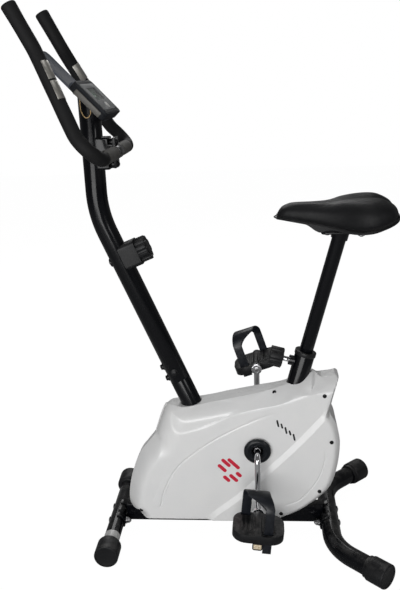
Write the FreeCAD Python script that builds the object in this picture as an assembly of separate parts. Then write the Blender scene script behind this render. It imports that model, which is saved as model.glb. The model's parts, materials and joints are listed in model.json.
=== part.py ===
import FreeCAD, Part
import math
import os

from FreeCAD import Rotation, Vector

# Upright exercise bike with a magnetic flywheel. Millimetres, +Z up, +X towards the front, +Y to the rider's left.
# The layout is drawn from the crank axle at x = 0; each piece is then moved so that the saved frame's origin is
# the point of the floor under the middle of the whole machine.
crank_from_middle = -84.8

# --- driving dimensions -------------------------------------------------------------------------------------
crank_height = 248.0
crank_length = 140.0
crank_arm_y = 105.0
pedal_tilt_left = -6.0
pedal_tilt_right = 18.0

rail_width = 30.0
rail_bottom = 18.0
rail_top = 68.0
rail_front_x = 336.0
rail_rear_x = -160.0

cap_radius = 29.0
cap_axis_height = 28.2
cap_length = 46.0
front_foot_x = 360.0
front_foot_half = 177.0
front_tube_radius = 19.0
rear_foot_x = -177.0
rear_tube_radius = 22.5
rear_bend_radius = 120.0
rear_bend_degrees = 47.0
rear_straight_half = 75.0
rear_end_run = 97.0
foot_wall = 2.0

post_radius = 24.0
post_wall = 2.2
post_bend = Vector(351, 0, 816)
post_lean = 22.3
post_bottom_height = 409.0
post_bend_radius = 250.0

seat_lean = 15.0
seat_tube_point = Vector(-115, 0, 468)
seat_tube_radius = 23.5
seat_post_radius = 16.0
seat_post_top_run = 303.0
seat_post_in_tube = 190.0

housing_half = 64.0
housing_wall = 3.0
housing_round = 20.0
shroud_corner_round = 10.0
housing_bottom = 50.0
cover_radius = 32.0

flywheel_center = Vector(203, 0, 168)
flywheel_radius = 80.0
flywheel_half = 12.0
belt_y = -44.0
belt_half = 5.0
drive_pulley_radius = 110.0
small_pulley_radius = 14.0
brake_pivot = Vector(273.7, 0, 97.3)
magnet_gap = 6.0
magnet_depth = 3.0
brake_plate = 3.5
axle_radius = 12.0
crank_rod_radius = 7.0
spindle_radius = 6.5
flywheel_axle_radius = 7.0

grip_radius = 15.0
bar_tube_radius = 11.0
bar_center = Vector(300, 0, 951)
arm_tip = Vector(470, 114, 1254)
arm_upper_bend = Vector(426, 115, 1168)
arm_lower_bend = Vector(344, 170, 997)
arm_corner = Vector(300, 190, 951)
bar_straight_half = 128.0
arm_radii = [80.0, 80.0, 38.0]

console_corner = Vector(302, 0, 1037)
console_slope = 47.0
console_half_width = 73.0
casing_depth = 17.0
bezel_rise = 3.0
lcd_low = 34.0
lcd_height = 34.0
lcd_half_width = 38.0
button_slope_run = 18.0
button_radius = 8.0

tension_height = 709.0
tension_knob_radius = 29.0
tension_flutes = 10
seat_knob_radius = 24.0
seat_knob_flutes = 7
flute_radius = 6.5
pin_below_top = 22.0
pin_radius = 3.0
height_hole_spacing = 25.0

pedal_inner_y = 117.0
pedal_outer_y = 208.0
pedal_half_length = 59.0
pedal_thickness = 20.0
pedal_below = 14.0
pedal_corner = 32.0
strap_inset = 10.0
strap_thickness = 2.6
strap_tail = 44.0
reflector_drop = 30.0

shank_radius = 3.9
screw_radius = 2.0

ALONG_Y = Vector(0, 1, 0)
UP = Vector(0, 0, 1)
crank_center = Vector(0, 0, crank_height)
post_axis = Vector(math.sin(math.radians(post_lean)), 0, math.cos(math.radians(post_lean)))
post_rearward = Vector(-post_axis.z, 0, post_axis.x)
seat_axis = Vector(-math.sin(math.radians(seat_lean)), 0, math.cos(math.radians(seat_lean)))
seat_forward = Vector(seat_axis.z, 0, -seat_axis.x)


# --- helpers ------------------------------------------------------------------------------------------------
def mirrored(point):
    return Vector(point.x, -point.y, point.z)


def to_other_side(shape):
    return shape.mirror(Vector(0, 0, 0), ALONG_Y)


def rod(start, end, radius):
    run = end - start
    return Part.makeCylinder(radius, run.Length, start, run)


def tube(start, end, outer, inner):
    return rod(start, end, outer).cut(rod(start, end, inner))


def ring(center, axis, outer, inner, half_width):
    reach = Vector(axis).normalize() * half_width
    return tube(center - reach, center + reach, outer, inner)


def disc(center, axis, radius, half_width):
    reach = Vector(axis).normalize() * half_width
    return rod(center - reach, center + reach, radius)


def bent_path(points, radii):
    """Straight runs between the points, joined by tangent arcs of the given radii."""
    edges = []
    start = points[0]
    for index in range(1, len(points) - 1):
        corner = points[index]
        back = (points[index - 1] - corner).normalize()
        ahead = (points[index + 1] - corner).normalize()
        half_opening = back.getAngle(ahead) / 2
        reach = radii[index - 1] / math.tan(half_opening)
        arc_start = corner + back * reach
        arc_end = corner + ahead * reach
        toward_center = (back + ahead).normalize()
        center_distance = radii[index - 1] / math.sin(half_opening)
        arc_middle = corner + toward_center * (center_distance - radii[index - 1])
        if (arc_start - start).Length > 0.01:
            edges.append(Part.LineSegment(start, arc_start).toShape())
        edges.append(Part.Arc(arc_start, arc_middle, arc_end).toShape())
        start = arc_end
    edges.append(Part.LineSegment(start, points[-1]).toShape())
    return Part.Wire(edges)


def swept(path, radius):
    """A round bar along a path."""
    first = path.Edges[0]
    start = first.valueAt(first.FirstParameter)
    heading = first.tangentAt(first.FirstParameter)
    profile = Part.Wire([Part.Circle(start, heading, radius).toShape()])
    return path.makePipeShell([profile], True, False)


def plate_xz(corners, y_low, y_high):
    """A flat plate with the given outline in X and Z."""
    wire = Part.makePolygon([Vector(x, y_low, z) for x, z in corners + corners[:1]])
    return Part.Face(wire).extrude(Vector(0, y_high - y_low, 0))


def rounded_box(low, high, radius, axis):
    """A box whose four edges along one axis (0, 1 or 2) are rounded."""
    size = high - low
    box = Part.makeBox(size.x, size.y, size.z, low)
    picked = []
    for edge in box.Edges:
        run = edge.Vertexes[1].Point - edge.Vertexes[0].Point
        if abs(abs(run[axis]) - size[axis]) < 1e-6:
            picked.append(edge)
    return box.makeFillet(radius, picked)


def hexagon(center, axis, across_flats, height):
    """A hexagon nut or bolt head standing on center along axis."""
    corner_radius = across_flats / math.sqrt(3)
    corners = [
        Vector(corner_radius * math.cos(math.radians(60 * i)), corner_radius * math.sin(math.radians(60 * i)), 0)
        for i in range(7)
    ]
    head = Part.Face(Part.makePolygon(corners)).extrude(Vector(0, 0, height))
    head.Placement = FreeCAD.Placement(center, Rotation(UP, axis))
    return head


def dome(center, axis, radius, height):
    """A shallow domed head standing on center along axis."""
    ball_radius = (radius ** 2 + height ** 2) / (2 * height)
    axis = Vector(axis).normalize()
    ball = Part.makeSphere(ball_radius, center - axis * (ball_radius - height), axis)
    return ball.common(rod(center, center + axis * height, radius))


def group(shapes):
    return Part.makeCompound(shapes)


def post_point(height):
    """The middle of the lower, leaning part of the handlebar post at a height."""
    return Vector(post_bend.x - (post_bend.z - height) * math.tan(math.radians(post_lean)), 0, height)


def seat_point(run):
    """A point on the seat post's axis, measured along it from the top of the seat tube."""
    return seat_tube_point + seat_axis * run


# --- feet ---------------------------------------------------------------------------------------------------
def rear_foot_path(side):
    """The outer end and the bend's corner of one half of the C-shaped rear foot."""
    turn = math.radians(rear_bend_degrees)
    corner_y = rear_straight_half + rear_bend_radius * math.tan(turn / 2)
    end_run = rear_end_run + rear_bend_radius * math.tan(turn / 2)
    corner = Vector(rear_foot_x, corner_y, cap_axis_height)
    end = corner + Vector(-math.sin(turn), math.cos(turn), 0) * end_run
    if side > 0:
        return end, corner
    return mirrored(end), mirrored(corner)


def rear_stabilizer():
    left_end, left_corner = rear_foot_path(1)
    right_end, right_corner = rear_foot_path(-1)
    heading = (left_end - left_corner).normalize()
    inset = heading * 6.0
    path = bent_path([left_end - inset, left_corner, right_corner, right_end - mirrored(inset)],
                     [rear_bend_radius, rear_bend_radius])
    return swept(path, rear_tube_radius).cut(swept(path, rear_tube_radius - foot_wall))


def front_stabilizer():
    end = Vector(front_foot_x, front_foot_half - 6.0, cap_axis_height)
    return tube(mirrored(end), end, front_tube_radius, front_tube_radius - foot_wall)


def end_cap(face_center, inward, tube_radius):
    """A cup over a foot's tube, with a ring at its mouth, a sunk outer face and a flat to stand on."""
    mouth = face_center + inward * cap_length
    body = rod(face_center, mouth, cap_radius)
    body = body.makeFillet(3.0, [edge for edge in body.Edges if edge.Closed])
    neck = rod(mouth - inward * 5.0, mouth + inward * 7.0, tube_radius + 3.5)
    socket = rod(face_center + inward * 6.0, mouth + inward * 20.0, tube_radius)
    sunk_face = rod(face_center - inward, face_center + inward * 1.5, cap_radius - 4.5)
    under_floor = Part.makeBox(400, 400, 40, Vector(face_center.x - 200, face_center.y - 200, -40))
    return body.fuse(neck).cut(socket).cut(sunk_face).cut(under_floor)


def rear_cap(side):
    end, corner = rear_foot_path(side)
    inward = (corner - end).normalize()
    return end_cap(end, inward, rear_tube_radius)


def front_cap(side):
    face_center = Vector(front_foot_x, side * front_foot_half, cap_axis_height)
    return end_cap(face_center, Vector(0, -side, 0), front_tube_radius)


def foot_saddle(tube_x, tube_radius, toward):
    """A bent plate welded to the end of the rail, which seats on the foot's tube."""
    block = Part.makeBox(26, 84, 46, Vector(tube_x - 13 + toward * 15, -42, 17))
    hollow = disc(Vector(tube_x, 0, cap_axis_height), ALONG_Y, tube_radius, 60)
    rail_room = Part.makeBox(600, rail_width, rail_top - rail_bottom, Vector(-200, -rail_width / 2, rail_bottom))
    plate = block.cut(hollow).cut(rail_room)
    shell = disc(Vector(tube_x, 0, cap_axis_height), ALONG_Y, tube_radius + 4.0, 42)
    return plate.common(shell)


def foot_saddles():
    return group([foot_saddle(front_foot_x, front_tube_radius, -1), foot_saddle(rear_foot_x, rear_tube_radius, 1)])


def stabilizer_bolts():
    """Four carriage bolts through the feet, each with its washer and domed nut."""
    pieces = []
    for tube_x, tube_radius, toward in ((front_foot_x, front_tube_radius, -1), (rear_foot_x, rear_tube_radius, 1)):
        for side in (-1, 1):
            seat = Vector(tube_x + toward * (tube_radius + 4.0), side * 29, cap_axis_height)
            inward = Vector(-toward, 0, 0)
            shank = rod(seat - inward * 9, seat + inward * (2 * tube_radius + 4.0), shank_radius)
            washer = ring(seat - inward * 1.0, inward, 8.5, shank_radius + 0.05, 1.0)
            nut = hexagon(seat - inward * 2.0, inward * -1, 13.0, 6.0)
            cap = dome(seat - inward * 8.0, inward * -1, 5.5, 5.0)
            head = dome(seat + inward * (2 * tube_radius + 4.0), inward, 9.0, 3.5)
            pieces.append(shank.fuse([nut, cap, head]))
            pieces.append(washer)
    return group(pieces)


# --- frame --------------------------------------------------------------------------------------------------
def main_rail():
    half = rail_width / 2
    outer = rounded_box(Vector(rail_rear_x, -half, rail_bottom), Vector(rail_front_x, half, rail_top), 6, 0)
    inner = rounded_box(Vector(rail_rear_x - 1, -half + 2, rail_bottom + 2),
                        Vector(rail_front_x + 1, half - 2, rail_top - 2), 4, 0)
    front_foot = disc(Vector(front_foot_x, 0, cap_axis_height), ALONG_Y, front_tube_radius, 60)
    rear_foot = disc(Vector(rear_foot_x, 0, cap_axis_height), ALONG_Y, rear_tube_radius, 60)
    return outer.cut(inner).cut(front_foot).cut(rear_foot)


def post_stub():
    """The frame's short upright, with the sleeve welded in its top that the handlebar post slides over."""
    low = post_point(rail_top - 30)
    high = post_point(post_bottom_height)
    stub = tube(low, high, post_radius, post_radius - post_wall)
    cable_exit = rod(post_point(330), Vector(200, 0, 285), 10.0)
    below_rail = Part.makeBox(400, 200, rail_top + 60, Vector(-150, -100, -60))
    inner_radius = post_radius - post_wall
    sleeve = tube(high - post_axis * 60, high + post_axis * 85, inner_radius, inner_radius - 3)
    return stub.cut(below_rail).cut(cable_exit).fuse(sleeve)


def seat_tube():
    """Upright tube for the seat post, with the knob's threaded boss welded to its front."""
    pipe = tube(seat_point(-440), seat_point(0), seat_tube_radius, seat_tube_radius - 2.5)
    below_rail = Part.makeBox(400, 200, rail_top + 60, Vector(-200, -100, -60))
    foot = seat_point(-pin_below_top)
    pin_hole = rod(foot, foot + seat_forward * 60, 6.0)
    boss = rod(foot + seat_forward * 15, foot + seat_forward * 33, 12.0)
    boss = boss.cut(rod(seat_point(-60), seat_point(20), seat_tube_radius))
    return pipe.cut(below_rail).fuse(boss).cut(pin_hole)


def bottom_bracket():
    """The crank's shell, held between the two uprights by a welded web."""
    shell = ring(crank_center, ALONG_Y, 24.0, 20.0, 30.0)
    web = plate_xz([(-50, 196), (-68, 292), (140, 296), (98, 200)], -3, 3)
    web = web.cut(disc(crank_center, ALONG_Y, 24.0, 20))
    web = web.cut(rod(seat_point(-440), seat_point(0), seat_tube_radius))
    web = web.cut(rod(post_point(60), post_point(400), post_radius))
    return shell.fuse(web)


def flywheel_bracket(side):
    """A plate beside the flywheel, welded to the rail, with the axle's bearing hole and the brake's pin hole."""
    half = rail_width / 2
    outline = [(140, 54), (294, 54), (294, 106), (262, 114), (222, 188), (184, 188)]
    plate = plate_xz(outline, half, half + 4)
    plate = plate.cut(disc(flywheel_center, ALONG_Y, 13.0, 60)).cut(disc(brake_pivot, ALONG_Y, 4.0, 60))
    return plate if side > 0 else to_other_side(plate)


def bearings():
    """Two crank bearings in the bracket's shell and two flywheel bearings in their plates."""
    plate_y = rail_width / 2 + 2.0
    rings = []
    for side in (-1, 1):
        rings.append(ring(crank_center + ALONG_Y * (side * 24), ALONG_Y, 20.0, axle_radius + 0.05, 6.0))
        rings.append(ring(flywheel_center + ALONG_Y * (side * plate_y), ALONG_Y, 13.0, flywheel_axle_radius + 0.05, 2.0))
    return group(rings)


# --- drive --------------------------------------------------------------------------------------------------
def crank_half(side):
    """From the axle's middle out through the bend and along one arm to the pedal eye."""
    down = Vector(0, 0, -side)
    start = crank_center + ALONG_Y * (side * 60)
    corner = crank_center + ALONG_Y * (side * 93) + down * 2
    eye = crank_center + ALONG_Y * (side * crank_arm_y) + down * crank_length
    arm = swept(bent_path([start, corner, eye], [20.0]), crank_rod_radius)
    shoulder = Part.makeCone(axle_radius, 8.0, 8.0, crank_center + ALONG_Y * (side * 58), ALONG_Y * side)
    boss = disc(eye, ALONG_Y, 13.0, 8.0)
    pedal_hole = disc(eye, ALONG_Y, spindle_radius, 12.0)
    return arm.fuse([shoulder, boss]).cut(pedal_hole)


def crank():
    axle = rod(crank_center - ALONG_Y * 58, crank_center + ALONG_Y * 58, axle_radius)
    return axle.fuse([crank_half(1), crank_half(-1)])


def drive_pulley():
    middle = crank_center + ALONG_Y * belt_y
    wheel = disc(middle, ALONG_Y, drive_pulley_radius, belt_half + 1)
    for spoke in range(6):
        angle = math.radians(60 * spoke + 30)
        hole_center = middle + Vector(math.cos(angle), 0, math.sin(angle)) * 66
        wheel = wheel.cut(disc(hole_center, ALONG_Y, 24.0, 20.0))
    groove = ring(middle, ALONG_Y, drive_pulley_radius + 5, drive_pulley_radius - 1.5, belt_half)
    flange = disc(middle + ALONG_Y * (belt_half + 2.0), ALONG_Y, 26.0, 2.0)
    return wheel.cut(groove).fuse(flange).cut(disc(middle, ALONG_Y, axle_radius, 30.0))


def belt_loop(large, small):
    """The outline of a belt round both pulleys at its own radii."""
    small_center = Vector(flywheel_center.x, belt_y, flywheel_center.z)
    large_center = Vector(0, belt_y, crank_height)
    along = small_center - large_center
    heading = math.atan2(along.z, along.x)
    spread = math.acos((large - small) / along.Length)

    def rim(center, radius, angle):
        return center + Vector(math.cos(angle), 0, math.sin(angle)) * radius

    top_large, top_small = rim(large_center, large, heading + spread), rim(small_center, small, heading + spread)
    low_large, low_small = rim(large_center, large, heading - spread), rim(small_center, small, heading - spread)
    return Part.Wire([
        Part.LineSegment(top_large, top_small).toShape(),
        Part.Arc(top_small, rim(small_center, small, heading), low_small).toShape(),
        Part.LineSegment(low_small, low_large).toShape(),
        Part.Arc(low_large, rim(large_center, large, heading + math.pi), top_large).toShape(),
    ])


def drive_belt():
    inner = belt_loop(drive_pulley_radius - 1.2, small_pulley_radius + 0.3)
    outer = belt_loop(drive_pulley_radius + 1.8, small_pulley_radius + 3.3)
    width = Vector(0, 2 * belt_half - 1.0, 0)
    belt = Part.Face(outer).extrude(width).cut(Part.Face(inner).extrude(width))
    belt.translate(Vector(0, -belt_half + 0.5, 0))
    return belt


def flywheel():
    wheel = disc(flywheel_center, ALONG_Y, flywheel_radius, flywheel_half)
    for side in (-1, 1):
        recess = ring(flywheel_center + ALONG_Y * (side * flywheel_half), ALONG_Y, flywheel_radius - 18, 22.0, 5.0)
        wheel = wheel.cut(recess)
    return wheel.cut(disc(flywheel_center, ALONG_Y, flywheel_axle_radius, 40.0))


def flywheel_axle():
    return rod(flywheel_center + ALONG_Y * -54, flywheel_center + ALONG_Y * 24, flywheel_axle_radius)


def flywheel_pulley():
    middle = flywheel_center + ALONG_Y * belt_y
    body = ring(middle, ALONG_Y, small_pulley_radius, flywheel_axle_radius, belt_half)
    flange = ring(middle + ALONG_Y * (belt_half + 1), ALONG_Y, small_pulley_radius + 5, flywheel_axle_radius, 1.0)
    return body.fuse(flange)


def brake_segment(inner, outer, low_degrees, high_degrees, half_width):
    """A curved plate round part of the flywheel."""
    depth = Vector(0, 2 * half_width, 0)

    def rim(radius, degrees):
        angle = math.radians(degrees)
        return flywheel_center + Vector(math.cos(angle) * radius, -half_width, math.sin(angle) * radius)

    middle = (low_degrees + high_degrees) / 2
    wire = Part.Wire([
        Part.Arc(rim(inner, low_degrees), rim(inner, middle), rim(inner, high_degrees)).toShape(),
        Part.LineSegment(rim(inner, high_degrees), rim(outer, high_degrees)).toShape(),
        Part.Arc(rim(outer, high_degrees), rim(outer, middle), rim(outer, low_degrees)).toShape(),
        Part.LineSegment(rim(outer, low_degrees), rim(inner, low_degrees)).toShape(),
    ])
    return Part.Face(wire).extrude(depth)


def brake_arm():
    inner = flywheel_radius + magnet_gap + magnet_depth
    arc = brake_segment(inner, inner + brake_plate, -40, 62, 10.0)
    neck = brake_segment(inner, inner + 11.0, -44, -34, 10.0)
    boss = disc(brake_pivot, ALONG_Y, 8.0, 10.0)
    clear_of_wheel = disc(flywheel_center, ALONG_Y, inner - magnet_depth, 20.0)
    return arc.fuse([neck, boss]).cut(clear_of_wheel).cut(disc(brake_pivot, ALONG_Y, 4.05, 20.0))


def brake_magnets():
    inner = flywheel_radius + magnet_gap
    return group([brake_segment(inner, inner + magnet_depth, start, start + 13, 9.0) for start in (-18, 0, 18, 36)])


def brake_pin():
    reach = ALONG_Y * (rail_width / 2 + 6)
    return rod(brake_pivot - reach, brake_pivot + reach, 4.0)


# --- shrouds ------------------------------------------------------------------------------------------------
def shroud_outline(y):
    """The side outline: nose, collar round the post, sloping top, pointed tail and round belly."""
    def at(x, z):
        return Vector(x, y, z)

    return Part.Wire([
        Part.LineSegment(at(-45, housing_bottom), at(304, housing_bottom)).toShape(),
        Part.Arc(at(304, housing_bottom), at(318, 55), at(325, 68)).toShape(),
        Part.Arc(at(325, 68), at(303, 186), at(241, 281)).toShape(),
        Part.LineSegment(at(241, 281), at(213, 338)).toShape(),
        Part.Arc(at(213, 338), at(205, 345), at(193, 345)).toShape(),
        Part.LineSegment(at(193, 345), at(-191, 415)).toShape(),
        Part.LineSegment(at(-191, 415), at(-172, 332)).toShape(),
        Part.Arc(at(-172, 332), at(-195, 246), at(-174, 152)).toShape(),
        Part.Arc(at(-174, 152), at(-120, 86), at(-45, housing_bottom)).toShape(),
    ])


def shroud_block(inset, depth, edge_round):
    """The outline pulled in by inset, pushed out to depth and rounded along its outer edge."""
    wire = shroud_outline(0)
    if inset:
        wire = wire.makeOffset2D(-inset)
    block = Part.Face(wire).extrude(Vector(0, depth, 0))
    corners = [edge for edge in block.Edges if edge.Length > depth - 0.01 and edge.BoundBox.XLength < 0.01
               and edge.BoundBox.ZLength < 0.01]
    block = block.makeFillet(shroud_corner_round - inset, corners)
    rim = [edge for edge in block.Edges if min(v.Point.y for v in edge.Vertexes) > depth - 0.01]
    return block.makeFillet(edge_round, rim)


def housing(side):
    shell = shroud_block(0, housing_half, housing_round)
    hollow = shroud_block(housing_wall, housing_half - housing_wall, housing_round - housing_wall)
    shell = shell.cut(hollow)
    shell = shell.cut(rod(post_point(300), post_point(450), post_radius + 0.8))
    shell = shell.cut(rod(seat_point(-150), seat_point(60), seat_tube_radius + 0.8))
    shell = shell.cut(Part.makeBox(900, rail_width / 2 + 1, rail_top + 1, Vector(-400, 0, 0)))
    shell = shell.cut(disc(crank_center, ALONG_Y, 26.0, 100.0))
    return shell if side > 0 else to_other_side(shell)


def housing_screws():
    """Small pan-head screws that join the shells, in shallow seats on the left side."""
    pieces = []
    for x, z in ((289, 78), (-42, 366), (-150, 378), (-160, 268), (-140, 142), (-55, 78)):
        seat = Vector(x, housing_half - 1.5, z)
        inset = abs(z - 366) < 1 or x > 280 or x < -100
        seat.y -= 6.0 if inset else 0.0
        pieces.append(rod(seat - ALONG_Y * 14, seat, screw_radius).fuse(dome(seat, ALONG_Y, 4.5, 2.2)))
    return group(pieces)


def crank_cover(side):
    """A dished black disc round the crank, snapped into the shroud."""
    start = crank_center + ALONG_Y * (side * (housing_half - 1))
    out = ALONG_Y * side
    body = rod(start + out * 1, start + out * 5, cover_radius)
    body = body.fuse(Part.makeCone(cover_radius, cover_radius - 6, 4, start + out * 5, out))
    body = body.fuse(rod(start - out * 6, start + out * 1, 25.8))
    dish = Part.makeCone(13.5, 22.0, 5, start + out * 4.2, out)
    return body.cut(dish).cut(rod(start - out * 10, start + out * 20, 13.5))


# --- pedals -------------------------------------------------------------------------------------------------
def pedal_spindles():
    left = rod(Vector(0, 97, 0), Vector(0, pedal_outer_y - 6, 0), spindle_radius)
    return group([on_pedal(left.copy(), 1), on_pedal(left.copy(), -1)])


def pedal_body():
    """A platform with round corners, cross ribs, a boss along the spindle, slots for the strap and a reflector tab."""
    center_y = (pedal_inner_y + pedal_outer_y) / 2
    half_width = (pedal_outer_y - pedal_inner_y) / 2
    slab = rounded_box(Vector(-pedal_half_length, pedal_inner_y, -pedal_below),
                       Vector(pedal_half_length, pedal_outer_y, pedal_thickness - pedal_below), pedal_corner, 2)
    slab = slab.cut(Part.makeBox(70, 50, 14, Vector(-35, center_y - 25, -pedal_below - 1)))
    for rib in range(-4, 5):
        slab = slab.fuse(Part.makeBox(4, 2 * half_width - 34, 4, Vector(rib * 9.5 - 2, pedal_inner_y + 17, 5)))
    slab = slab.fuse(disc(Vector(0, center_y, -2), ALONG_Y, 12.0, half_width))
    tab = rounded_box(Vector(-11.5, pedal_outer_y - 9, -reflector_drop - 3),
                      Vector(11.5, pedal_outer_y - 3, -pedal_below + 4), 5, 1)
    slab = slab.fuse(tab)
    slab = slab.cut(Part.makeBox(18.4, 2.2, 12.4, Vector(-9.2, pedal_outer_y - 5, -reflector_drop - 0.2)))
    slab = slab.cut(rod(Vector(0, 0, 0), Vector(0, pedal_outer_y - 5, 0), spindle_radius + 0.05))
    for slot_x, strap_y in ((30, pedal_inner_y + strap_inset), (-22, pedal_outer_y - strap_inset)):
        slab = slab.cut(Part.makeBox(24, 5.2, 60, Vector(slot_x - 12, strap_y - 2.6, -30)))
    return slab


def pedal_reflector():
    """A prism block in the pocket of the tab that hangs from the pedal's outer edge."""
    return Part.makeBox(18, 2.0, 12, Vector(-9, pedal_outer_y - 4.8, -reflector_drop))


def pedal_strap():
    """A band arched over the foot, from the inner slot towards the front to the outer slot towards the rear."""
    inner_y = pedal_inner_y + strap_inset
    outer_y = pedal_outer_y - strap_inset
    half_thickness = strap_thickness / 2
    middle_y = (inner_y + outer_y) / 2

    def arch(lift):
        return Part.Wire([
            Part.LineSegment(Vector(0, inner_y - lift, -22), Vector(0, inner_y - lift, 52)).toShape(),
            Part.Arc(Vector(0, inner_y - lift, 52), Vector(0, middle_y, 88 + lift),
                     Vector(0, outer_y + lift, 52)).toShape(),
            Part.LineSegment(Vector(0, outer_y + lift, 52), Vector(0, outer_y + lift, -strap_tail)).toShape(),
        ])

    outside, inside = arch(half_thickness), arch(-half_thickness)
    closing = [
        Part.LineSegment(Vector(0, inner_y - half_thickness, -22), Vector(0, inner_y + half_thickness, -22)).toShape(),
        Part.LineSegment(Vector(0, outer_y + half_thickness, -strap_tail),
                         Vector(0, outer_y - half_thickness, -strap_tail)).toShape(),
    ]
    profile = Part.Wire(Part.__sortEdges__(outside.Edges + inside.Edges + closing))
    band = Part.Face(profile).extrude(Vector(120, 0, 0))
    band.translate(Vector(-60, 0, 0))
    plan = [(41, inner_y - 8), (19, inner_y - 8), (19, inner_y + 2), (-18, middle_y - 14), (-22, middle_y + 10),
            (-32, outer_y - 3), (-32, outer_y + 8), (-12, outer_y + 8), (-12, outer_y - 3), (28, middle_y + 12),
            (35, middle_y - 10), (41, inner_y + 2)]
    cutter = Part.Face(Part.makePolygon([Vector(x, y, -60) for x, y in plan + plan[:1]])).extrude(UP * 200)
    return band.common(cutter)


def on_pedal(shape, side):
    """Carry a piece drawn about the left spindle to the left or right pedal."""
    if side > 0:
        shape.rotate(Vector(0, 0, 0), ALONG_Y, pedal_tilt_left)
        shape.translate(crank_center - UP * crank_length)
        return shape
    shape = to_other_side(shape)
    shape.rotate(Vector(0, 0, 0), ALONG_Y, pedal_tilt_right)
    shape.translate(crank_center + UP * crank_length)
    return shape


# --- seat ---------------------------------------------------------------------------------------------------
def seat_bush():
    """Plastic liner of the seat tube with a collar at its top."""
    liner = tube(seat_point(-110), seat_point(0.0), seat_tube_radius - 2.5, seat_post_radius + 0.08)
    collar = tube(seat_point(0.0), seat_point(9), seat_tube_radius + 1.8, seat_post_radius + 0.08)
    pin_hole = rod(knob_point(0), knob_point(60), 6.0)
    return liner.fuse(collar).cut(pin_hole)


def seat_post():
    """Tube with its height holes, and the saddle's plate welded on its top."""
    pipe = tube(seat_point(-seat_post_in_tube), seat_point(seat_post_top_run), seat_post_radius, seat_post_radius - 2)
    for step in range(8):
        hole = seat_point(-pin_below_top - height_hole_spacing * (step - 5))
        pipe = pipe.cut(rod(hole, hole + seat_forward * 40, 4.5))
    top = seat_point(seat_post_top_run)
    plate = rounded_box(Vector(top.x - 55, -34, top.z + 1), Vector(top.x + 45, 34, top.z + 5), 12, 2)
    neck = rod(seat_point(seat_post_top_run - 16), seat_point(seat_post_top_run + 12), seat_post_radius + 3)
    neck = neck.cut(rod(seat_point(200), seat_point(seat_post_top_run + 30), seat_post_radius))
    above = Part.makeBox(200, 200, 60, Vector(top.x - 100, -100, top.z + 3))
    plate = plate.cut(rod(seat_point(200), seat_point(400), seat_post_radius))
    return pipe.fuse([plate, neck.cut(above)])


def seat_bolts():
    top = seat_point(seat_post_top_run)
    pieces = []
    for dx, dy in ((30, 0), (-42, 22), (-42, -22)):
        seat = Vector(top.x + dx, dy, top.z + 1)
        shank = rod(seat - UP * 8, seat + UP * 8, shank_radius)
        pieces.append(shank.fuse(hexagon(seat, UP * -1, 13.0, 6.0)))
    return group(pieces)


def saddle_outline(shrink):
    """Plan of the saddle: round nose, waist and wide round rear."""
    def at(x, y):
        return Vector(x, y, 0)

    nose, rear, wide = -47.0 - shrink, -316.0 + shrink, 102.0 - shrink
    left = [at(nose - 6, 16), at(-80, 32 - shrink), at(-130, 40 - shrink), at(-180, 64 - shrink),
            at(-228, 96 - shrink), at(-262, wide), at(-296, 84 - shrink), at(rear + 2, 44)]
    curve = Part.BSplineCurve()
    points = [at(nose, 0)] + left + [at(rear, 0)] + [mirrored(p) for p in reversed(left)]
    curve.interpolate(Points=points, PeriodicFlag=True)
    return Part.Wire([curve.toShape()])


def saddle_base():
    """Moulded plastic pan that holds the cushion."""
    pan = Part.Face(saddle_outline(14)).extrude(UP * 8)
    pan.rotate(Vector(-180, 0, 0), ALONG_Y, 4.0)
    pan.translate(UP * (seat_point(seat_post_top_run).z + 6.5))
    flat = Part.makeBox(200, 120, 40, Vector(-290, -60, seat_point(seat_post_top_run).z - 35))
    return pan.cut(flat)


def saddle_cushion():
    pad = Part.Face(saddle_outline(2)).extrude(UP * 58)
    pad = pad.makeFillet(17.0, [edge for edge in pad.Edges if edge.BoundBox.ZMin > 57])
    pad.rotate(Vector(-180, 0, 0), ALONG_Y, 4.0)
    pad.translate(UP * (seat_point(seat_post_top_run).z + 15.5))
    return pad


# --- seat knob ----------------------------------------------------------------------------------------------
def knob_point(run):
    return seat_point(-pin_below_top) + seat_forward * run


def knob_sleeve():
    """Chromed threaded sleeve screwed into the boss."""
    return tube(knob_point(25), knob_point(48), 5.95, pin_radius + 0.1)


def seat_knob():
    body = rod(knob_point(49), knob_point(79), seat_knob_radius)
    flute_offset = ALONG_Y * (seat_knob_radius + 3.5)
    for flute in range(seat_knob_flutes):
        groove = rod(knob_point(40) + flute_offset, knob_point(90) + flute_offset, flute_radius)
        groove.rotate(knob_point(0), seat_forward, 360 / seat_knob_flutes * flute)
        body = body.cut(groove)
    cap_recess = rod(knob_point(77.5), knob_point(82), 12.0)
    return body.cut(cap_recess).cut(rod(knob_point(40), knob_point(70), pin_radius))


def seat_pin():
    return rod(knob_point(17.5), knob_point(70), pin_radius)


# --- handlebar post and tension knob ------------------------------------------------------------------------
def console_frame(shape):
    """Carry a piece drawn flat (X up the slope, Z out of the face) to the console's place."""
    shape.rotate(Vector(0, 0, 0), ALONG_Y, -console_slope)
    shape.translate(console_corner)
    return shape


def post_path():
    return bent_path([post_point(post_bottom_height), post_bend, Vector(post_bend.x, 0, 1120)], [post_bend_radius])


def handlebar_post():
    """Bent tube with the console's plate welded across its slanted top and the bar's seat on its rear."""
    path = post_path()
    pipe = swept(path, post_radius).cut(swept(path, post_radius - post_wall))
    above_console = console_frame(Part.makeBox(400, 300, 200, Vector(-150, -150, -24)))
    console_plate = console_frame(rounded_box(Vector(14, -38, -24), Vector(88, 38, -21), 8, 2))
    return pipe.cut(above_console).fuse([console_plate, clamp_seat()])


def tension_point(run):
    return post_point(tension_height) + post_rearward * run


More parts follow.
